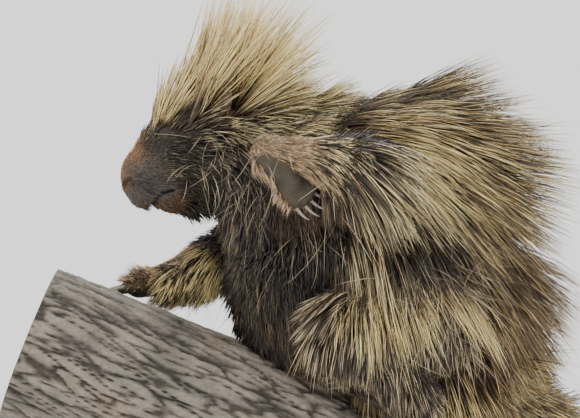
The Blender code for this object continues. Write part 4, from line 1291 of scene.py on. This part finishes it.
def limb_section(share, angle):
    """Half width and half height factors of the limb at a share of its length, as in the solids."""
    low = np.maximum(0.0, -np.cos(angle))
    uneven = 1 + low * (0.035 * np.sin(3 * angle + 5 * share) + 0.03 * np.sin(7 * share + 1))
    return uneven * (1 + 0.06 * low * (0.5 - share))


def limb_place(share, angle, inset):
    """Place on the limb, the inset measured inwards, in millimetres from the seat."""
    factor = limb_section(share, angle)
    y = np.sin(angle) * (LIMB_HALF_WIDTH * factor - inset)
    z = np.cos(angle) * (LIMB_HALF_HEIGHT * factor - inset) - LIMB_HALF_HEIGHT
    x = share * (LIMB_UPHILL + LIMB_DOWNHILL) - LIMB_UPHILL
    turn_x = x * math.cos(LIMB_SLOPE) + z * math.sin(LIMB_SLOPE)
    turn_z = -x * math.sin(LIMB_SLOPE) + z * math.cos(LIMB_SLOPE)
    return np.stack([turn_x, y, turn_z], axis=-1)


def bark_height(share, angle):
    """Depth of the bark below its plates' tops: long bent cracks between plates, and fine grain."""
    along = share * (LIMB_UPHILL + LIMB_DOWNHILL)
    turned = angle + along * BARK_TWIST
    depth = np.empty(len(share))
    for i in range(len(share)):
        around = Vector((0.0, math.sin(turned[i]), math.cos(turned[i])))
        spot = around * (LIMB_HALF_WIDTH / BARK_PLATE_WIDTH)
        spot.x = along[i] / BARK_PLATE_LENGTH
        spot += noise.noise_vector(spot * 0.45) * 1.1 + noise.noise_vector(spot * 1.7) * 0.28
        near = noise.voronoi(spot)[0]
        crack = math.exp(-(((near[1] - near[0]) / 0.13) ** 2))
        fine_spot = around * 24.0
        fine_spot.x = along[i] * 0.11
        fine = noise.fractal(fine_spot, 0.8, 2.1, 4)
        depth[i] = crack * (3.2 + 1.6 * noise.noise(spot * 0.8)) + near[0] * 1.2 - fine * 1.0
    return depth


def make_limb():
    share, angle = np.meshgrid(np.linspace(0, 1, BARK_ROWS), np.arange(BARK_AROUND) / BARK_AROUND * 2 * math.pi, indexing="ij")
    share, angle = share.ravel(), angle.ravel()
    depth = bark_height(share, angle)
    places = limb_place(share, angle, np.maximum(depth, -0.4) + 0.5)
    rows = [places.reshape(BARK_ROWS, BARK_AROUND, 3)]
    # Painted shade: the bark darkens towards the crack colour with the depth of each crack, and its warm patches fade
    # there too.
    crack = np.clip(depth / 4.0, 0, 1)[:, None]
    patch = np.array([noise.fractal(Vector(place) * 0.02, 1.0, 2.0, 3) for place in places])[:, None]
    plate = np.array(BARK_LIGHT) * (0.85 + 0.35 * np.clip(patch + 0.4, 0, 1)) * (1 - 0.3 * np.clip(-patch, 0, 1))
    colour = plate * (1 - crack) + np.array(BARK_CRACK_SHADE) * crack
    warm = np.clip(patch * 1.5 - 0.2, 0, 0.6)
    colour = colour * (1 - warm) + np.array(BARK_WARM) * warm * (1 - 0.7 * crack)
    colours = [colour]
    inset0 = depth.reshape(BARK_ROWS, BARK_AROUND)
    for end, row in ((0, 0), (1, BARK_ROWS - 1)):
        for ring in range(1, END_RINGS):
            near = ring / END_RINGS
            turn = np.arange(BARK_AROUND) / BARK_AROUND * 2 * math.pi
            rim = limb_place(np.full(BARK_AROUND, float(end)), turn, np.maximum(inset0[row], -0.4) + 0.5)
            heart = limb_place(np.full(1, float(end)), np.zeros(1), np.full(1, LIMB_HALF_HEIGHT * 0.94))[0]
            rows.append((rim * (1 - near) + heart * near)[None])
            wood = np.array((0.36, 0.25, 0.14)) if near > 0.07 else np.array((0.10, 0.065, 0.04))
            wave = 0.84 + 0.16 * math.sin(near * 95)
            heartwood = 0.62 if near > 0.62 else 1.0
            colours.append(np.tile(wood * wave * heartwood, (BARK_AROUND, 1)))
    grid = np.concatenate([block.reshape(-1, 3) for block in rows])
    tint = np.concatenate(colours)
    faces, kinds = [], []
    around = np.arange(BARK_AROUND)
    after = (around + 1) % BARK_AROUND
    for row in range(BARK_ROWS - 1):
        a, b = row * BARK_AROUND, (row + 1) * BARK_AROUND
        faces.append(np.stack([a + around, b + around, b + after, a + after], axis=1))
        kinds.append(np.zeros(BARK_AROUND, np.int32))
    for end, row in ((0, 0), (1, BARK_ROWS - 1)):
        before = row * BARK_AROUND
        for ring in range(END_RINGS - 1):
            now = (BARK_ROWS + end * (END_RINGS - 1) + ring) * BARK_AROUND
            quad = [before + around, before + after, now + after, now + around]
            faces.append(np.stack(quad if end == 0 else quad[::-1], axis=1))
            kinds.append(np.ones(BARK_AROUND, np.int32))
            before = now
    faces = np.concatenate(faces)
    kinds = np.concatenate(kinds)
    mesh = bpy.data.meshes.new("limb")
    mesh.vertices.add(len(grid))
    mesh.loops.add(len(faces) * 4)
    mesh.polygons.add(len(faces))
    mesh.vertices.foreach_set("co", metres(grid).astype(np.float32).ravel())
    mesh.loops.foreach_set("vertex_index", faces.astype(np.int32).ravel())
    mesh.polygons.foreach_set("loop_start", np.arange(0, len(faces) * 4, 4, dtype=np.int32))
    mesh.update(calc_edges=True)
    set_tint(mesh, tint)
    bm = bmesh.new()
    bm.from_mesh(mesh)
    bm.verts.ensure_lookup_table()
    for end in (0, 1):
        first = (BARK_ROWS + end * (END_RINGS - 1) + END_RINGS - 2) * BARK_AROUND
        rim = [bm.verts[first + k] for k in range(BARK_AROUND)]
        cap = bm.faces.new(rim if end == 0 else rim[::-1])
        cap.material_index = 1
    bm.to_mesh(mesh)
    bm.free()
    kinds = np.concatenate([kinds, np.ones(len(mesh.polygons) - len(kinds), np.int32)])
    mesh.polygons.foreach_set("material_index", kinds)
    mesh.polygons.foreach_set("use_smooth", np.ones(len(kinds), bool))
    mesh.set_sharp_from_angle(angle=math.radians(60))
    limb = linked("limb", mesh)
    mesh.materials.append(tint_material("bark", "tint", 0.9, 260.0, 0.55, 1.45, 0.0012))
    mesh.materials.append(sawn_material())
    return limb


def finish_stand():
    nodes = frame["nodes"]
    wood = plain_material("stand_paint", (0.030, 0.028, 0.026), 0.42, 45.0, 0.75, 1.25, 0.0002, stretch=(0.3, 3, 3))
    steel = plain_material("stand_steel", (0.42, 0.42, 0.41), 0.32, 300.0, 0.8, 1.15, 0.0001, stretch=(1, 1, 0.05), Metallic=1.0)
    for name, material in (("stand_base", wood), ("stand_rod_front", steel), ("stand_rod_rear", steel)):
        nodes[name].data.materials.clear()
        nodes[name].data.materials.append(material)


def tint_skin(skin, lies):
    """Colours the skin like the roots of the coat, with its bare places, and paints shade into the mouth line, the
    nostril pits and the lid slits.
    """
    places = coordinates(skin.data) / MM - SEAT
    out = normals(skin.data)
    region = regions_of(places)
    _, values = coat_at(places, out, region, lies)
    root, tip = values[:, VALUE["root"]], values[:, VALUE["tip"]]
    colour = root * 0.9
    short = np.clip((14 - values[:, VALUE["length"]]) / 8, 0, 1)[:, None]
    colour = colour * (1 - short) + (root * 0.6 + tip * 0.4) * short
    for place, reach, tint in SPOTS:
        near = bump(np.linalg.norm(places - np.array(place), axis=1), reach)[:, None]
        colour = colour * (1 - near) + np.array(tint) * near
    bare = bareness(places, out, region)
    for name in FEET:
        here = (region == REGION_NAMES.index(name)) & (bare > 0)
        colour[here] = PALM_COLOUR
    ears = region == REGION_NAMES.index("ears")
    colour[ears] = EAR_COLOUR
    mouth = line_distance(places[:, (0, 2)], MOUTH_LINE)
    low = (places[:, 0] < -104) & (places[:, 2] < 166)
    # Painted shade: the skin darkens along the mouth line, in the groove between the lips.
    mouth_shade = (low * bump(mouth, 1.6))[:, None]
    colour = colour * (1 - 0.8 * mouth_shade)
    for side in (1, -1):
        comma = [mirror(spot, side) for spot in NOSTRIL_LINE]
        away = [bone_distance(places, a, 0.0, b, 0.0) for a, b in zip(comma, comma[1:])]
        # Painted shade: the skin darkens almost to black in the pressed-in nostril pits.
        nostril_shade = bump(np.min(away, axis=0), 3.1)[:, None]
        colour = colour * (1 - 0.94 * nostril_shade)
        # Partly the dark eye that shows in the slit and partly painted shade: the slit between the lids darkens almost
        # to black.
        colour = colour * (1 - 0.985 * lid_slit_shade(places, side)[:, None])
    mottle = np.array([noise.noise(Vector(place) * 0.12) for place in places])[:, None]
    set_tint(skin.data, np.clip(colour * (1 + 0.3 * mottle), 0.003, 0.8))


def build_animal():
    skin = make_skin()
    mesh = skin.data
    places = coordinates(mesh)
    places = sculpt_face(places, normals(mesh))
    set_coordinates(mesh, places)
    places = wrinkled(places, normals(mesh), regions_of(places))
    set_coordinates(mesh, places)
    tree = BVHTree.FromPolygons(places.tolist(), triangles(mesh).tolist(), all_triangles=True)
    set_coordinates(mesh, metres(places))
    mesh.shade_smooth()
    lies = make_lies(tree)
    coat = Coat(skin, lies, tree, coarse_unwrap(skin))
    grow_wool(coat)
    grow_guard(coat)
    grow_strays(coat)
    grow_quills(coat)
    grow_whiskers(coat)
    tint_skin(skin, lies)
    mesh.materials.clear()
    mesh.materials.append(skin_material())
    return skin, coat.pieces


def add_area_light(name, place, target, size, power, colour=(1, 1, 1)):
    light = bpy.data.lights.new(name, "AREA")
    light.shape = "DISK"
    light.size = size
    light.energy = power
    light.color = colour
    obj = bpy.data.objects.new(name, light)
    bpy.context.scene.collection.objects.link(obj)
    obj.location = place
    obj.rotation_euler = (Vector(target) - Vector(place)).to_track_quat("-Z", "Y").to_euler()


def make_stage():
    """A plain pale floor under an even pale sky, three soft lights and the camera."""
    bm = bmesh.new()
    bmesh.ops.create_circle(bm, cap_ends=True, segments=96, radius=FLOOR_RADIUS)
    floor = bm_object("floor", bm)
    floor.data.materials.append(plain_material("floor", (0.90, 0.90, 0.89), 0.9, 6.0, 0.99, 1.01, 0.0001))
    world = bpy.data.worlds.new("studio")
    bpy.context.scene.world = world
    world.use_nodes = True
    world.node_tree.nodes["Background"].inputs["Color"].default_value = (1.0, 1.0, 1.0, 1.0)
    world.node_tree.nodes["Background"].inputs["Strength"].default_value = 1.55
    middle = (0.02, 0.0, 0.46)
    add_area_light("key", (-1.3, -1.9, 2.3), middle, 1.5, 58, (1.0, 0.985, 0.96))
    add_area_light("fill", (1.9, -1.8, 1.2), middle, 1.6, 22, (0.97, 0.985, 1.0))
    add_area_light("rim", (0.6, 1.7, 2.2), middle, 1.4, 50)
    camera = bpy.data.cameras.new("camera")
    obj = bpy.data.objects.new("camera", camera)
    bpy.context.scene.collection.objects.link(obj)
    centre = metres((
        (PHOTO_WIDTH / 2 - SEAT_PIXEL[0]) * PIXEL, 0.0, (SEAT_PIXEL[1] - PHOTO_HEIGHT / 2) * PIXEL,
    ))
    obj.location = (centre[0], -CAMERA_DISTANCE, centre[2])
    obj.rotation_euler = (math.pi / 2, 0, 0)
    camera.lens = camera.sensor_width * CAMERA_DISTANCE / (PHOTO_WIDTH * PIXEL * MM)
    bpy.context.scene.camera = obj


make_stage()
skin, coat_pieces = build_animal()
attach(skin, "root")
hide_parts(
    "head", "neck", "torso", "tail", "ear_left", "ear_right", *LEGS, *FEET,
)
hair_finish = tint_material("hair", "tint", 0.42, 700.0, 0.8, 1.2, 0.0, Specular_IOR_Level=0.45)
for piece in coat_pieces:
    piece.data.materials.append(hair_finish)
    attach(piece, "root")
eyes = make_eyes()
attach(eyes, "root")
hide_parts("eye_left", "eye_right")
claws = make_claws()
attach(claws, "root")
limb = make_limb()
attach(limb, "root")
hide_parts("perch_limb")
finish_stand()
